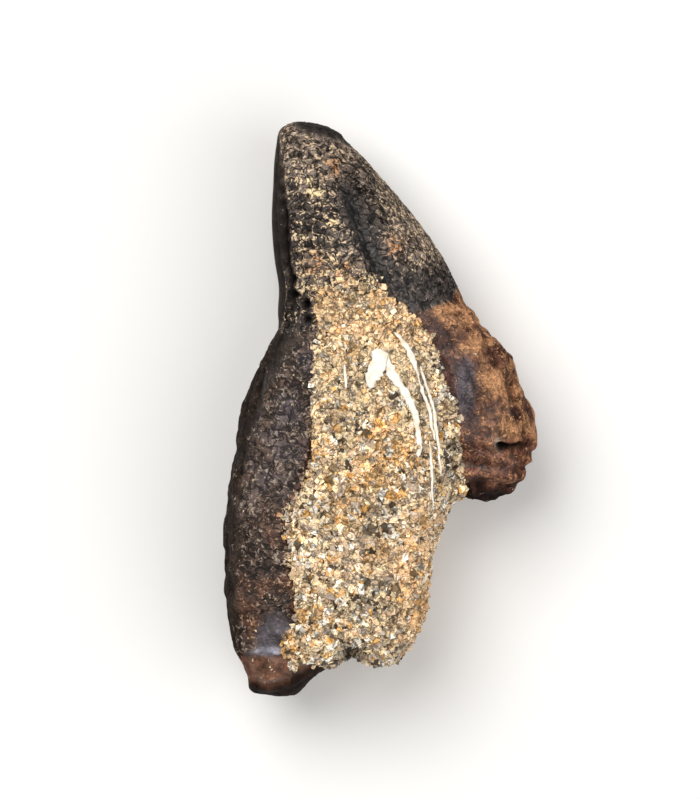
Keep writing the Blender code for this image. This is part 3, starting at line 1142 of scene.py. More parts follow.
        # partly painted shade: the tip's own dark mottles grow thicker on its steep sides than on its top
        dark = tip * above(mottles, 0.45 * up - 0.05, 0.1)
        coat.lay(Skin(Hue.BAND_DARK, Hue.FIBRE_TAN, 0.2, 0.38, 0.3), dark)
        # painted highlight: a pale, smoother ellipse on the ledge above the tip
        ledge = np.hypot((x + 7.8) / 0.95, (y + 16.75) / 0.34) + 0.3 * wander
        coat.lay(Skin(Hue.LEDGE_SHEEN, Hue.ROOT_GREY, 0.1, 0.3), above(-ledge, -1.0, 0.15) * up)
        # painted shade: a near-black rim round the very end of the long root's tip
        rim = above(-y, 19.4 - 0.3 * np.abs(x + 7.8) - 0.5 * (x > -6.2) + 0.3 * wander, 0.15)
        coat.lay(Skin(Hue.ROOT_EDGE, Hue.FILM_GREY, 0.05, 0.45), rim)

    def lay_short_root(self, coat: Coat) -> None:
        """Lays the short root's zones: tan fibres, the dark band by the sandstone with painted shade in it,
        the broken end with painted shade in its slit, and painted shade along the root's lower end.

        Args:
            coat: what they are laid on.
        """
        points, up, wander = coat.points, coat.up, coat.wander
        x, y, _ = points.T
        own = self.short_root_places(points)
        short_root = above(x, 0.2, 0.2)
        coat.lay(Skin(Hue.SHORT_ROOT, Hue.FIBRE_TAN, 0.38, 0.45, 0.55), short_root)
        coat.lay(Skin(Hue.BAND_DARK, Hue.FIBRE_TAN, 0.34, 0.45, 0.75), short_root * above(wander, 0.15, 0.15))
        streaks = smooth_noise(own, (0.45, 2.4, 0.7), 42) + 0.6 * smooth_noise(own, 1.3, 43)
        fibres = above(streaks, 0.05, 0.12) * short_root * above(y, -2.4, 0.5)
        fibres *= above(own[:, 0], -1.5 + 0.4 * wander, 0.3)
        coat.lay(Skin(Hue.FIBRE_TAN, Hue.FILM_ORANGE, 0.44, 0.5, 0.45), 0.85 * fibres)
        mottles = smooth_noise(points, 1.3, 46) + 0.7 * smooth_noise(points, 0.6, 47)
        dark, light = 0.9 * above(mottles, 0.25, 0.08), 0.75 * above(-mottles, 0.45, 0.08)
        coat.lay(Skin(Hue.BAND_DARK, Hue.FIBRE_TAN, 0.32, 0.45, 0.6), dark * short_root)
        coat.lay(Skin(Hue.FIBRE_TAN, Hue.FILM_ORANGE, 0.46, 0.5, 0.4), light * short_root)
        spot = Skin(Hue.BAND_DARK, Hue.FIBRE_TAN, 0.28, 0.45, 0.5)
        coat.lay_spots(spot, self.dark_spots, 1.3, uneven=0.5 * wander, zone=short_root)
        spot = Skin(Hue.FIBRE_TAN, Hue.FILM_ORANGE, 0.6, 0.6, 0.35)
        coat.lay_spots(spot, self.light_spots, 1.2, uneven=0.4 * wander)
        # the dark band beside the sandstone: partly the root's own darker tone, partly painted shade where
        # the taller rock meets the root
        band = bell(own[:, 0] + 2.5 + 0.3 * wander, 1.05) * above(y, -2.0, 0.8) * short_root
        coat.lay(Skin(Hue.BAND_DARK, Hue.FIBRE_TAN, 0.24, 0.44, 0.5), np.clip(1.3 * band, 0, 1))
        violet = np.hypot((x - 5.7) / 0.7, (y - 1.6) / 2.0) + 0.3 * wander
        coat.lay(Skin(Hue.BAND_GREY, Hue.FILM_GREY, 0.16, 0.5, 0.5), above(-violet, -1.0, 0.15) * short_root)
        low = above(-y, 2.3 + 0.4 * wander, 0.2) * short_root
        coat.lay(Skin(Hue.SHORT_LOW, Hue.FIBRE_TAN, 0.3, 0.45, 0.7), 0.8 * low)
        chip = bell(np.hypot((x - 8.0) / 0.8, (y + 2.4) / 1.1), 0.42) * up
        coat.lay(Skin(Hue.FILM_GREY, Hue.FILM_TAN, 0.3, 0.55, 0.4), 0.8 * chip)
        # painted shade: the carved slit in the broken end is painted near-black
        slit = bell(y - self.slit_y, 0.34) * above(x, 7.9, 0.15) * above(-x, -10.2, 0.2) * up
        coat.lay(Skin(Hue.SEAM_BLACK, Hue.ROOT_EDGE, 0.0, 0.7), np.clip(1.4 * slit, 0, 1))
        # painted shade: the short root's lower end is laid near-black where it turns under
        foot = above(-y, 5.3 + 0.3 * wander, 0.15) * short_root
        coat.lay(Skin(Hue.ROOT_EDGE, Hue.FILM_GREY, 0.08, 0.5), foot)

    def lay_crown(self, coat: Coat) -> None:
        """Lays the crown's zones: mottled face, dark groove, worn slope, black base, sandy neck, enamel, and
        painted shade in the groove at the enamel's edge and in the pits.

        Args:
            coat: what they are laid on.
        """
        points, up, wander = coat.points, coat.up, coat.wander
        x, y, z = points.T
        drift = (1 - up) * smooth_noise(points, 3.0, 48)
        ragged = 0.3 * wander + 0.45 * (x > 0.5) * rough_noise(points, 0.8, 45)
        crown = above(y, self.neck_y(x) + ragged + drift, 0.1)
        coat.lay(Skin(Hue.ENAMEL_BLACK, Hue.FILM_TAN, 0.37, 0.5, 1.0), crown)
        coat.lay(Skin(Hue.ENAMEL_GREY, Hue.FILM_TAN, 0.38, 0.45, 1.0), crown * above(wander, 0.1, 0.15))
        coat.lay(Skin(Hue.ENAMEL_GREY, Hue.FILM_TAN, 0.43, 0.55, 0.9), crown * above(y, 15.8 + wander, 0.7))
        off_groove = x - line_at(self.groove, y)
        slope = above(off_groove, 1.5 + 0.5 * wander, 0.3)
        coat.lay(Skin(Hue.ENAMEL_GREY, Hue.FILM_TAN, 0.47, 0.6, 0.8), crown * slope)
        groove = bell(off_groove - 0.35, 1.25 + 0.3 * wander) * above(-y, -16.5, 0.7)
        coat.lay(Skin(Hue.ENAMEL_BLACK, Hue.FILM_GREY, 0.27, 0.45, 1.0), crown * np.clip(1.2 * groove, 0, 1))
        base = above(-y, -9.0 - 0.42 * (x - 1.3) + 0.9 * wander, 0.25) * above(x, 0.2, 0.3)
        coat.lay(Skin(Hue.ENAMEL_BLACK, Hue.FILM_GREY, 0.22, 0.42, 1.0), crown * base)
        left_low = above(-y, -8.2 + 0.8 * wander, 0.25) * above(-x, 4.4 + 0.4 * wander, 0.15)
        coat.lay(Skin(Hue.ENAMEL_BLACK, Hue.FILM_TAN, 0.34, 0.5, 1.0), crown * left_low)
        neck = above(-y, -10.1 + 1.4 * wander, 0.7) * above(x, -5.6 + 0.4 * wander, 0.35) * up
        neck *= (1 - left_low) * above(-off_groove, 0.5, 0.3)
        coat.lay(Skin(Hue.ENAMEL_GREY, Hue.FILM_CREAM, 0.49, 0.7, 1.0), crown * neck)
        low_neck = neck * above(-y, -7.9 + 0.7 * wander, 0.3)
        coat.lay(Skin(Hue.CEMENT, Hue.FILM_CREAM, 0.7, 0.8, 0.8), crown * low_neck)
        spot = Skin(Hue.ENAMEL_GREY, Hue.FILM_CREAM, 0.7, 0.7, 0.8)
        coat.lay_spots(spot, self.cream_spots, 1.2, squash=1.5)
        coat.lay_spots(Skin(Hue.ENAMEL_GREY, Hue.FILM_ORANGE, 0.58, 0.6, 0.8), self.orange_spots, 1.0)
        core = bell(off_groove + 0.1, 0.5 + 0.25 * wander) * above(-y, -15.2, 0.4) * above(y, 9.3, 0.3)
        coat.lay(Skin(Hue.ENAMEL_BROWN, Hue.FILM_GREY, 0.22, 0.4, 1.0), crown * np.clip(1.2 * core, 0, 1))
        chip = above(y + 0.25 * (x + 5.0) + 0.15 * wander, 19.15, 0.1) * above(x, -6.0, 0.1)
        coat.lay(Skin(Hue.ENAMEL_BROWN, Hue.FILM_GREY, 0.05, 0.35), crown * chip)
        edge_x = self.enamel_edge_x(points)
        from_middle = z - MIDDLE_Z
        plate = above(-x, -edge_x, 0.05) * above(y, 5.3 + 0.07 * from_middle**2 + 0.2 * wander, 0.12)
        coat.lay(Skin(Hue.ENAMEL_BROWN, Hue.FILM_GREY, 0.04, 0.48, 0.1), plate)
        keel = plate * bell(from_middle, 0.55 + 0.2 * wander) * above(-up, -0.4, 0.1)
        coat.lay(Skin(Hue.ENAMEL_RIDGE, Hue.FILM_GREY, 0.1, 0.34, 0.1), 0.8 * keel)
        worn = plate * above(-y, -9.4 + 0.8 * wander, 0.3) * above(x, edge_x - 0.75, 0.1)
        coat.lay(Skin(Hue.ENAMEL_BLACK, Hue.FILM_TAN, 0.28, 0.45, 0.9), worn)
        # painted shade: a near-black line in the groove along the enamel's edge, and black in the carved pits
        seam = bell(x - edge_x - 0.1, 0.22) * above(y, 7.2, 0.3) * above(-y, -14.5 + wander, 0.5) * up
        black = Skin(Hue.SEAM_BLACK, Hue.ENAMEL_BLACK, 0.0, 0.6)
        coat.lay(black, np.clip(1.3 * seam, 0, 1))
        coat.lay_spots(black, ((px, py, radius) for px, py, _, _, radius in self.pits), 1.5)

    def build(self) -> tuple[bpy.types.Object, Surface, Coat]:
        """Makes the tooth's surface and dresses it.

        Returns:
            The object, its surface, and its coat.
        """
        points, normals, quads = Moulder.even_mesh(
            "tooth_block", [LONG_LIMB.shell(), SHORT_LIMB.shell()], [], self.voxel, self.melt
        )
        up, left = np.abs(normals[:, 2]), np.clip(-normals[:, 0], 0, 1)
        coat = Coat(points, normals, Skin(Hue.ROOT_BROWN, Hue.FILM_GREY, 0.42, 0.52, 0.85))
        self.lay_long_root(coat)
        self.lay_short_root(coat)
        self.lay_crown(coat)
        height = self.crown_relief(points, up, left) + self.root_relief(points, up, left)
        coat.raised = np.clip((height - self.smoothed(height, quads)) / self.crest_height, -1, 1)
        height += self.stipple(points, up, coat)
        points = points + normals * height[:, None]
        points[:, 2] -= self.room * above(points[:, 2], 12.5, 0.6)
        points = inside_box(points)
        made = mesh_object("tooth_surface", points, quads)
        coat.rough = np.clip(coat.rough + self.edge_dulling * above(-up, -0.6, 0.1), 0, 1)
        coat.store(made)
        made.data.materials.append(ToothFinish().build())
        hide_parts("tooth")
        return made, Surface.of(made.data)._replace(points=points), coat


@dataclass
class Sandstone:
    """The rock in the fork of the roots, without the grains that stand out of it."""

    voxel: float = 0.2
    melt: int = 3
    inset: float = -0.16  # the cement lies this far under the grains' tops
    seam: float = 0.05  # clearance to the roots
    lift: float = 0.16  # the cement's least height above the table, which the grains under it fill
    lower_edge: Rows = (
        (-6.0, -17.9), (-3.4, -17.75), (-2.7, -17.2), (-2.0, -16.95), (-1.4, -17.2), (-0.3, -17.6),
        (0.9, -17.5), (1.7, -16.9), (2.2, -16.0), (3.5, -14.6),
    )  # the broken edge between the root's tip and the right side, as x and y
    notch: tuple[float, float] = (-2.1, -16.95)  # the middle of a hollow in the lower edge, darkened with painted shade
    notch_depth: float = 1.1
    left_edge: Rows = (
        (7.6, -4.2), (5.5, -4.15), (0.6, -4.75), (-2.2, -4.5), (-4.6, -4.85), (-7.0, -6.4), (-10.5, -6.2),
        (-13.3, -5.7), (-14.7, -5.7), (-15.8, -6.7), (-17.5, -6.4),
    )  # where the sand on the upper side ends on the long root, as y and x
    right_edge: Rows = (
        (7.6, 0.3), (6.8, 1.3), (6.1, 2.4), (4.8, 3.2), (3.35, 3.7), (0.7, 4.75), (-1.05, 5.1), (-3.5, 5.25),
        (-5.0, 5.6),
    )  # and on the short root
    edge_drop: float = 1.3  # how far the cement dips where the upper side has no sand
    head_y: float = 6.7  # up to where the sand laps over the neck
    foot_y: float = -16.4  # down to where it laps over the long root

    def between_edges(self, points: np.ndarray) -> np.ndarray:
        """How far inside both edges of the sand each point of the upper side lies.

        Args:
            points: places in millimetres.

        Returns:
            A number from 0, outside, to 1, inside, for each point.
        """
        x, y, _ = points.T
        ragged = 0.18 * rough_noise(points, 0.7, 73)
        inside_left = above(x, line_at(self.left_edge, y) + ragged, 0.04)
        return inside_left * above(-x, ragged - line_at(self.right_edge, y), 0.04)

    def in_notch(self, points: np.ndarray) -> np.ndarray:
        """How far into the hollow each point lies, from 0 to 1."""
        across, along = (points[:, k] - self.notch[k] for k in (0, 1))
        return bell(np.hypot(across / 0.95, along / 0.5), 1.0) * above(points[:, 2], 10.0, 0.5)

    def relief(self, points: np.ndarray) -> np.ndarray:
        """Lumps a few millimetres across, and crumbs the size of grains, as heights at the points."""
        lumps = 0.3 * smooth_noise(points, (2.6, 2.9, 2.6), 51) + 0.16 * smooth_noise(points, 1.3, 52)
        return lumps + 0.07 * smooth_noise(points, 0.45, 53)

    def on_cement(self, points: np.ndarray) -> np.ndarray:
        """How thick the grains lie on the cement: evenly, but not in the roots, the hollow or past the edges.

        Args:
            points: the cement's points.

        Returns:
            A share for each point.
        """
        x, y, z = points.T
        hidden = np.minimum(LONG_LIMB.fullness(points), SHORT_LIMB.fullness(points))
        shown = (hidden > 0.985) * (self.in_notch(points) < 0.8)
        on_top = self.between_edges(points) + (y < self.foot_y) + (x > 3.0)
        return shown * np.where(z > MIDDLE_Z, on_top, 1.0)

    def on_tooth(self, surface: Surface, coat: Coat) -> tuple[np.ndarray, np.ndarray]:
        """How thick sand lies on the tooth: spilled over it beside the rock, or clinging to the crown's film.

        On the upper side it has spilled up to the two edges, and below in a rim as wide as a grain.

        Args:
            surface: the tooth's surface.
            coat: tells where the film is thick and stands out.

        Returns:
            A share for each point, first of spilled and then of clinging sand.
        """
        x, y, z = surface.points.T
        outside = SANDSTONE_LIMB.fullness(surface.points)
        exposed = outside > 0.97
        ragged = rough_noise(surface.points, 0.9, 74)
        over = above(z, MIDDLE_Z + 3.0, 0.3) * self.between_edges(surface.points)
        over *= above(-y, -self.head_y + 0.5 * ragged, 0.3) * above(y, self.foot_y, 0.3)
        rim = above(-outside, -1.006 - 0.014 * ragged, 0.004) * (z < MIDDLE_Z)
        spilled = exposed * np.clip(over + rim, 0, 1)
        clinging = exposed * np.clip(coat.cover - 0.2, 0, 1) * above(coat.raised, 0.1, 0.2) * (1 - spilled)
        clinging *= 0.006 + 0.994 * bell(y - 8.0, 1.2) * above(-x, -0.5, 0.5) * above(x, -4.6, 0.2)
        return spilled, clinging * (np.abs(surface.normals[:, 2]) > 0.55)

    def build(self) -> tuple[bpy.types.Object, Surface]:
        """Makes the cement's surface.

        Returns:
            The object and its surface.
        """
        points, normals, quads = Moulder.even_mesh(
            "sandstone_block",
            [SANDSTONE_LIMB.shell(self.inset)],
            [LONG_LIMB.shell(self.seam), SHORT_LIMB.shell(self.seam)],
            self.voxel,
            self.melt,
        )
        touching = np.minimum(LONG_LIMB.fullness(points), SHORT_LIMB.fullness(points))
        free = above(touching, 1.06, 0.012)
        height = self.relief(points) - self.notch_depth * self.in_notch(points)
        x, y, z = points.T
        past_edge = above(line_at(self.left_edge, y) - x, 0.15, 0.08)
        beyond = past_edge * above(z, MIDDLE_Z, 0.5) * above(y, self.foot_y, 0.2)
        points = points + normals * (height * free)[:, None]
        points[:, 0] -= 0.45 * bell(y + 8.0, 1.8) * above(x, 2.5, 0.6)
        points[:, 2] = np.maximum(points[:, 2] - self.edge_drop * beyond, self.lift)
        xs, ys = np.array(self.lower_edge).T
        points[:, 1] = np.maximum(points[:, 1], np.interp(points[:, 0], xs, ys))
        points = inside_box(points)
        made = mesh_object("sandstone_cement", points, quads)
        cement = PowderFinish(
            "clay_and_iron_cement", Hue.CEMENT, Hue.CEMENT_DARK, cloud=0.8, crumb=0.2, crumb_depth=0.05
        )
        made.data.materials.append(cement.build())
        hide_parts("sandstone")
        return made, Surface.of(made.data)._replace(points=points)


@dataclass(frozen=True)
class Mix:
    """A mixture of sand: how much there is of each colour."""

    shares: dict[Hue, float]

    def pick(self, chances: np.ndarray) -> np.ndarray:
        """A colour for each chance from 0 to 1, by the hues' running total of shares.

        Args:
            chances: one number for each grain.

        Returns:
            One row of linear RGB for each grain.
        """
        edges = np.cumsum(list(self.shares.values())) / sum(self.shares.values())
        colours = np.array([hue.linear() for hue in self.shares])
        return colours[np.minimum(np.searchsorted(edges, chances), len(colours) - 1)]


class GrainForm(Enum):
    """The solids that grains are worked from."""

    BLOCK = "a cube"
    SHARD = "an octahedron"

    def solid(self) -> tuple[np.ndarray, np.ndarray]:
        """The solid, before its corners are moved.

        Returns:
            The corners, at a distance of 1 to 1.4 from the middle, and the triangles, facing outwards.
        """
        if self is GrainForm.SHARD:
            corners = np.concatenate([np.eye(3), -np.eye(3)]) * 1.15
            faces = [(0, 1, 2), (1, 3, 2), (3, 4, 2), (4, 0, 2), (1, 0, 5), (3, 1, 5), (4, 3, 5), (0, 4, 5)]
            return corners, np.array(faces)
        corners = np.array(list(itertools.product((-0.8, 0.8), repeat=3)))
        faces = [(0, 1, 3), (0, 3, 2), (4, 6, 7), (4, 7, 5), (0, 4, 5), (0, 5, 1)]
        faces += [(2, 3, 7), (2, 7, 6), (0, 2, 6), (0, 6, 4), (1, 5, 7), (1, 7, 3)]
        return corners, np.array(faces)


@dataclass
class Sand:
    """Many angular grains, joined in one mesh and half sunk in a surface."""

    name: str
    form: GrainForm
    count: int
    diameter: tuple[float, float]  # the smallest and the largest, in millimetres
    spacing: float  # at most one grain's middle lies in a cell of this size
    sunk: float  # how deep a grain sits, as a share of its radius
    seed: int

    def spots(self, surface: Surface, density: np.ndarray) -> tuple[np.ndarray, np.ndarray]:
        """Scattered places on a surface, at most one in each cell of a lattice.

        Args:
            surface: where the grains lie.
            density: how thick they lie at each of its points.

        Returns:
            The places, and the surface's normals there.
        """
        draw = np.random.default_rng(self.seed)
        points, normals, quads = surface
        corner = points[quads]
        area = np.linalg.norm(np.cross(corner[:, 2] - corner[:, 0], corner[:, 3] - corner[:, 1]), axis=1)
        chance = area * density[quads].mean(axis=1)
        face = draw.choice(len(quads), size=self.count * 12, p=chance / chance.sum())
        u, v = draw.random((2, len(face), 1))
        weights = np.stack([(1 - u) * (1 - v), u * (1 - v), u * v, (1 - u) * v], axis=1)
        place = (points[quads[face]] * weights).sum(axis=1)
        normal = (normals[quads[face]] * weights).sum(axis=1)
        _, first = np.unique(np.floor(place / self.spacing).astype(int), axis=0, return_index=True)
        kept = np.sort(first)[: self.count]
        return place[kept], normal[kept] / np.linalg.norm(normal[kept], axis=1, keepdims=True)

    @staticmethod
    def turns(count: int, draw: np.random.Generator) -> np.ndarray:
        """Random turns, from unit quaternions.

        Args:
            count: how many are wanted.
            draw: the source of random numbers.

        Returns:
            One 3 by 3 matrix for each turn.
        """
        w, x, y, z = (q := draw.normal(size=(4, count))) / np.linalg.norm(q, axis=0)
        rows = [
            [1 - 2 * (y * y + z * z), 2 * (x * y - z * w), 2 * (x * z + y * w)],
            [2 * (x * y + z * w), 1 - 2 * (x * x + z * z), 2 * (y * z - x * w)],
            [2 * (x * z - y * w), 2 * (y * z + x * w), 1 - 2 * (x * x + y * y)],
        ]
        return np.array(rows).transpose(2, 0, 1)

    def build(self, places: np.ndarray, normals: np.ndarray, colours: np.ndarray) -> bpy.types.Object:
        """Makes the grains: a solid each, its corners pushed in and out, then squeezed and turned.

        There are more small grains than large ones, and those on steep sides are smaller and sit deeper, so
        that they don't stand out of the outline.

        Args:
            places: where the grains sit.
            normals: the surface's normals there.
            colours: one row of linear RGB for each grain.

        Returns:
            The joined object.
        """
        draw = np.random.default_rng(self.seed + 1)
        count = len(places)
        corners, faces = self.form.solid()
        low, high = self.diameter
        steep = 1 - np.abs(normals[:, 2])
        radius = (low + (high - low) * draw.random(count) ** 1.6) / 2 * (1 - 0.15 * steep)
        shape = corners[None] * (0.6 + 0.5 * draw.random((count, len(corners), 1)))
        shape = shape + 0.42 * (draw.random((count, len(corners), 3)) - 0.5)
        shape = shape * (0.62 + 0.7 * draw.random((count, 1, 3)))
        shape = np.einsum("nij,nkj->nki", self.turns(count, draw), shape) * radius[:, None, None]
        sunk = self.sunk + 0.45 * steep
        middles = places + normals * (radius * (1 - sunk - 0.6 * draw.random(count)))[:, None]
        middles[:, 2] = np.maximum(middles[:, 2], 0.8 * radius)
        points = inside_box((middles[:, None] + shape).reshape(-1, 3))
        numbers = (faces[None] + len(corners) * np.arange(count)[:, None, None]).reshape(-1, 3)
        made = mesh_object(self.name, points, numbers, smooth=False)
        set_attribute(made, "grain", np.repeat(colours, len(corners), axis=0))
        return made


ROCK_SAND = Mix(
    {
        Hue.GRAIN_WHITE: 0.15,
        Hue.GRAIN_CREAM: 0.33,
        Hue.GRAIN_TAN: 0.26,
        Hue.GRAIN_OCHRE: 0.05,
        Hue.GRAIN_GREY: 0.11,
        Hue.GRAIN_GREEN: 0.06,
        Hue.GRAIN_DARK: 0.04,
    }
)
CROWN_SAND = Mix(
    {
        Hue.FILM_TAN: 0.38,
        Hue.FILM_CREAM: 0.22,
        Hue.FILM_GREY: 0.2,
        Hue.FILM_ORANGE: 0.12,
        Hue.GRAIN_GREEN: 0.08,
    }
)


@dataclass
class CalciteStreaks:
    """Thin white veins of calcite, laid bare on the sandstone, each a flat lens carried along a path."""

    paths: tuple[Rows, ...] = (
        ((-0.35, 4.2, 0.5), (-0.28, 3.5, 1.3), (-0.46, 2.7, 1.3), (-0.72, 2.0, 0.8), (-0.86, 1.4, 0.4)),
        (
            (-0.35, 3.9, 0.5), (0.35, 2.95, 0.7), (1.0, 2.0, 0.62), (1.6, 1.0, 0.6), (2.1, 0.1, 0.52),
            (2.4, -1.05, 0.44), (2.54, -2.2, 0.42), (2.5, -3.3, 0.24),
        ),
        (
            (0.87, 5.3, 0.14), (1.64, 4.4, 0.44), (2.13, 3.35, 0.36), (2.52, 2.1, 0.12), (2.8, 1.2, 0.24),
            (3.2, 0.2, 0.24), (3.4, -1.0, 0.22), (3.66, -2.2, 0.1),
        ),
        ((2.6, 3.0, 0.1), (3.05, 1.6, 0.2), (3.45, 0.3, 0.24), (3.75, -1.5, 0.22), (4.05, -4.6, 0.1)),
        ((3.24, -2.1, 0.1), (3.38, -4.0, 0.18), (3.45, -5.8, 0.16), (3.52, -7.0, 0.08)),
        ((-2.6, 3.1, 0.1), (-2.5, 2.2, 0.22), (-2.45, 1.4, 0.1)),
    )  # x, y and width at each point of a path
    step: float = 0.08  # between two sections along a path
    around: int = 12
    rise: float = 0.37  # how far a vein stands above the cement
    thickness: float = 0.2

    def vein(self, path: Rows, surface: np.ndarray, seed: int) -> tuple[np.ndarray, np.ndarray]:
        """One vein: a lens profile carried along the path, on the surface under it.

        A section's half width and half height follow the path's widths, roughened by noise.

        Args:
            path: x, y and width at each of its points.
            surface: the cement's points.
            seed: picks the noise.

        Returns:
            The points and the quads of a closed tube with pinched ends.
        """
        knots = np.array(path)
        length = np.concatenate([[0], np.cumsum(np.hypot(*np.diff(knots[:, :2], axis=0).T))])
        s = np.linspace(0, length[-1], int(length[-1] / self.step) + 2)
        x, y, width = (through(-length, knots[:, k], -s) for k in range(3))
        near = np.hypot(surface[:, 0] - x[:, None], surface[:, 1] - y[:, None]) < 0.35
        z = np.where(near & (surface[:, 2] > MIDDLE_Z), surface[:, 2], 0).max(axis=1)
        z = np.convolve(np.pad(z, 3, mode="edge"), np.full(7, 1 / 7), mode="valid") + self.rise
        tangent = np.stack([np.gradient(x, s), np.gradient(y, s)], axis=-1)
        side = np.stack([-tangent[:, 1], tangent[:, 0]], axis=-1)
        side /= np.linalg.norm(side, axis=1, keepdims=True)
        middle = np.stack([x, y, z], axis=-1)
        middle[:, :2] += side * (0.05 * smooth_noise(middle, 0.4, seed + 20))[:, None]
        ragged = 1 + 0.25 * smooth_noise(middle, 0.6, seed) + 0.32 * smooth_noise(middle, 0.22, seed)
        ends = np.clip(np.minimum(s, s[-1] - s) / (2 * self.step), 0.02, 1)
        half = (width * ragged * ends / 2)[:, None]
        angle = np.linspace(0, 2 * np.pi, self.around, endpoint=False)[None]
        lopsided = 0.3 * smooth_noise(middle, 0.25, seed + 9)[:, None] * np.cos(angle)
        across = half * np.cos(angle) * (1 + lopsided)
        points = np.empty((len(s), self.around, 3))
        points[..., :2] = middle[:, None, :2] + side[:, None] * across[..., None]
        points[..., 2] = middle[:, None, 2] + self.thickness / 2 * ends[:, None] * np.sin(angle)
        return points.reshape(-1, 3), tube_quads(len(s), self.around)[:, [0, 3, 2, 1]]

    def build(self, surface: np.ndarray) -> bpy.types.Object:
        """Makes all the veins as one object.

        Args:
            surface: the cement's points, which the veins lie on.

        Returns:
            The object.
        """
        all_points, all_quads, first = [], [], 0
        for number, path in enumerate(self.paths):
            points, quads = self.vein(path, surface, 61 + number)
            all_points.append(points)
            all_quads.append(quads + first)
            first += len(points)
        places = inside_box(np.concatenate(all_points))
        made = mesh_object("calcite_streaks", places, np.concatenate(all_quads))
        sizes = {"cloud": 0.5, "crumb": 0.15, "crumb_depth": 0.03, "roughness": 0.7}
        chalky = PowderFinish("chalky_calcite", Hue.CALCITE, Hue.CALCITE_SHADE, **sizes)
        made.data.materials.append(chalky.build())
        return made


@dataclass
class Studio:
    """The floor, the soft lights and the camera that looks straight down."""

    centre: tuple[float, float] = (-2.196, 0.662)  # what the middle of the picture shows, in millimetres
    height_shown: float = 55.69  # the height of the picture at the tooth's middle plane
    distance: float = 420.0
    sensor: float = 36.0
    floor_size: float = 1200.0
    lamps: tuple[tuple, ...] = (
        ("key", (-110, 130, 340), 240, 1.15, (1.0, 0.985, 0.965)),
        ("fill", (170, -90, 330), 340, 0.75, (0.98, 0.99, 1.0)),
    )  # name, place and side in millimetres, watts, tint
    room_light: float = 0.2

    def floor(self) -> None:
        """A plain pale floor that the tooth lies on, with a slight roughness of its own."""
        half = self.floor_size / 2
        corners = np.array([(-half, -half, 0), (half, -half, 0), (half, half, 0), (-half, half, 0)])
        made = mesh_object("floor", corners, np.array([[0, 1, 2, 3]]))
        material, node = new_material("matt_white_card")
        card = node("BsdfPrincipled", {"Base Color": Hue.FLOOR.rgba(), "Roughness": 0.9})
        node("OutputMaterial", (card,), None)
        made.data.materials.append(material)

    def lamp(self, name: str, place: tuple[float, ...], size: float, power: float, tint: tuple) -> None:
        """A square soft box that faces the tooth.

        Args:
            name: the light's name.
            place: where it stands, in millimetres.
            size: its side, in millimetres.
            power: in watts.
            tint: its colour.
        """
        light = bpy.data.lights.new(name, "AREA")
        light.size, light.energy, light.color = size * MM, power, tint
        made = bpy.data.objects.new(name, light)
        made.location = Vector(place) * MM
        aim = Vector((self.centre[0], self.centre[1], MIDDLE_Z)) * MM - made.location
        made.rotation_euler = aim.to_track_quat("-Z", "Y").to_euler()
        bpy.context.scene.collection.objects.link(made)

    def camera(self) -> None:
        """A long lens straight above, with the picture's upper edge towards the crown."""
        data = bpy.data.cameras.new("camera")
        data.sensor_width = self.sensor
        data.lens = self.sensor * self.distance / self.height_shown
        data.clip_start, data.clip_end = 0.01, 10.0
        made = bpy.data.objects.new("camera", data)
        made.location = Vector((*self.centre, MIDDLE_Z + self.distance)) * MM
        bpy.context.scene.collection.objects.link(made)
        bpy.context.scene.camera = made

    def world(self) -> None:
        """A pale, even room round the tooth."""
        world = bpy.data.worlds.new("studio")
        world.use_nodes = True
        background = world.node_tree.nodes["Background"].inputs
        background["Color"].default_value = (1.0, 1.0, 1.0, 1.0)
        background["Strength"].default_value = self.room_light
        bpy.context.scene.world = world
        bpy.context.scene.view_settings.view_transform = "Standard"

    def build(self) -> None:
        """Sets up everything that isn't part of the tooth."""
        self.floor()
        self.world()
        for lamp in self.lamps:
            self.lamp(*lamp)
        self.camera()


RUST_SPOTS: Rows = (
    (-2.6, 4.2, 1.1), (-1.2, -4.2, 1.3), (-6.4, -16.0, 0.7), (2.6, -13.6, 0.9), (1.9, -3.4, 0.6)
)  # x, y and radius of stains on the sandstone


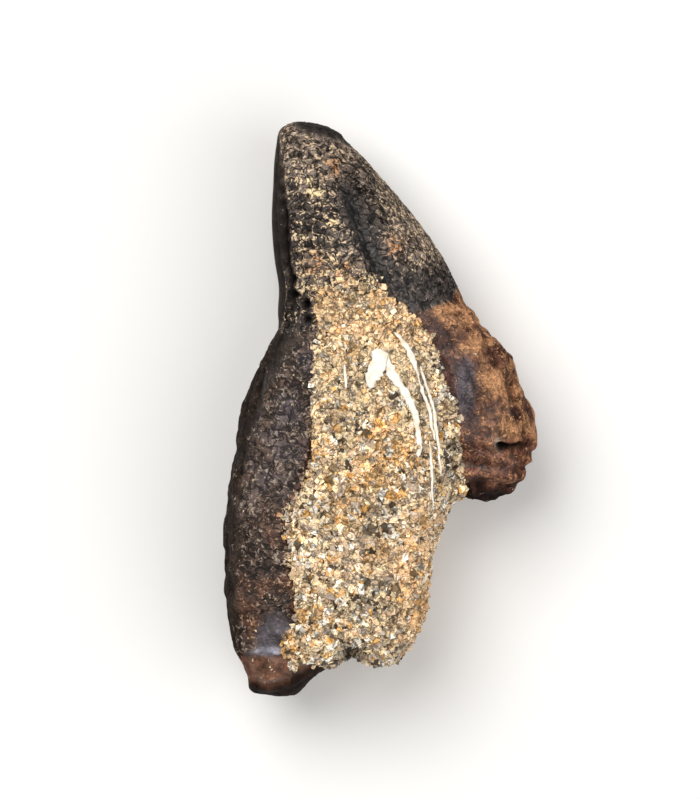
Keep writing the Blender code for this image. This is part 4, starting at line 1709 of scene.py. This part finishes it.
def rock_colours(places: np.ndarray, seed: int) -> np.ndarray:
    """Colours for the sandstone's grains: the mixture's, warmer or greyer from place to place, and darkened
    as painted shade in the hollow of the lower edge.

    Args:
        places: where the grains sit.
        seed: picks the draw.

    Returns:
        One row of linear RGB for each grain.
    """
    draw = np.random.default_rng(seed)
    colours = ROCK_SAND.pick(draw.random(len(places)))
    x, y, z = places.T
    broad, fine = smooth_noise(places, 2.4, 71), smooth_noise(places, 1.2, 72)
    stained = sum(bell(np.hypot(x - px, y - py) * (1 + 0.4 * fine), radius) for px, py, radius in RUST_SPOTS)
    for hue, strength, zone in (
        (Hue.GRAIN_OCHRE, 0.6, above(broad, 0.4, 0.1)),
        (Hue.GRAIN_CREAM, 0.6, above(y, 1.0 + 2 * fine, 0.8)),
        (Hue.GRAIN_GREY, 0.5, above(bell(np.hypot(x + 1.5, 0.8 * (y + 10)), 3.0) + 0.4 * fine, 0.7, 0.1)),
        (Hue.GRAIN_GREEN, 0.4, above(fine - 0.3 * broad, 0.6, 0.1)),
        (Hue.GRAIN_AMBER, 0.7, above(x + 0.8 * fine, 1.0, 0.4) * above(-y, 7.6 + fine, 0.8)),
        (Hue.GRAIN_AMBER, 0.55, above(y + 0.8 * fine, 4.6, 0.5)),
        (Hue.GRAIN_OCHRE, 0.6, stained),
    ):
        touched = strength * zone * (draw.random(len(places)) < 0.6)
        colours += (hue.linear() - colours) * touched[:, None]
    light = (1 + 0.14 * fine + 0.08 * broad) * (0.69 + 0.5 * draw.random(len(places)))
    light *= 1 + 0.25 * smooth_noise(places, 0.75, 75)
    notch_x, notch_y = Sandstone.notch
    # painted shade: grains in the hollow of the lower edge are darkened almost to black
    light *= 1 - 0.94 * bell(np.hypot((x - notch_x) / 1.5, y - notch_y), 0.72) * above(z, 10.0, 0.7)
    return colours * light[:, None]


def main() -> None:
    """Builds the pieces in order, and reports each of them."""
    logging.basicConfig(level=logging.INFO, format="%(name)s: %(message)s", force=True)
    tooth, tooth_surface, coat = Tooth().build()
    sandstone = Sandstone()
    cement, cement_surface = sandstone.build()
    bare = sandstone.on_cement(cement_surface.points)
    spilled, clinging = sandstone.on_tooth(tooth_surface, coat)
    pieces = [tooth, cement]
    finish = GrainFinish().build()
    block, shard = GrainForm.BLOCK, GrainForm.SHARD
    for sand, surface, density in (
        (Sand("sandstone_grains", block, 12500, (0.36, 0.72), 0.3, sunk=0.55, seed=81), cement_surface, bare),
        (Sand("sandstone_shards", shard, 17000, (0.24, 0.46), 0.2, sunk=0.45, seed=83), cement_surface, bare),
        (Sand("spilled_grains", block, 4200, (0.28, 0.58), 0.25, sunk=0.55, seed=85), tooth_surface, spilled),
        (Sand("clinging_sand", shard, 640, (0.14, 0.36), 0.22, sunk=0.7, seed=91), tooth_surface, clinging),
    ):
        places, normals = sand.spots(surface, density)
        if density is clinging:
            colours = CROWN_SAND.pick(np.random.default_rng(95).random(len(places)))
        else:
            colours = rock_colours(places, sand.seed + 5)
        made = sand.build(places, normals, colours)
        made.data.materials.append(finish)
        pieces.append(made)
    pieces.append(CalciteStreaks().build(cement_surface.points))
    for piece in pieces:
        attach(piece, "root")
        triangles = sum(len(face.vertices) - 2 for face in piece.data.polygons)
        log.info("%s: %d triangles", piece.name, triangles)
        if triangles > TRIANGLE_LIMIT:
            raise ValueError(f"{piece.name} has too many triangles")
    Studio().build()


if __name__ == "__main__":
    main()
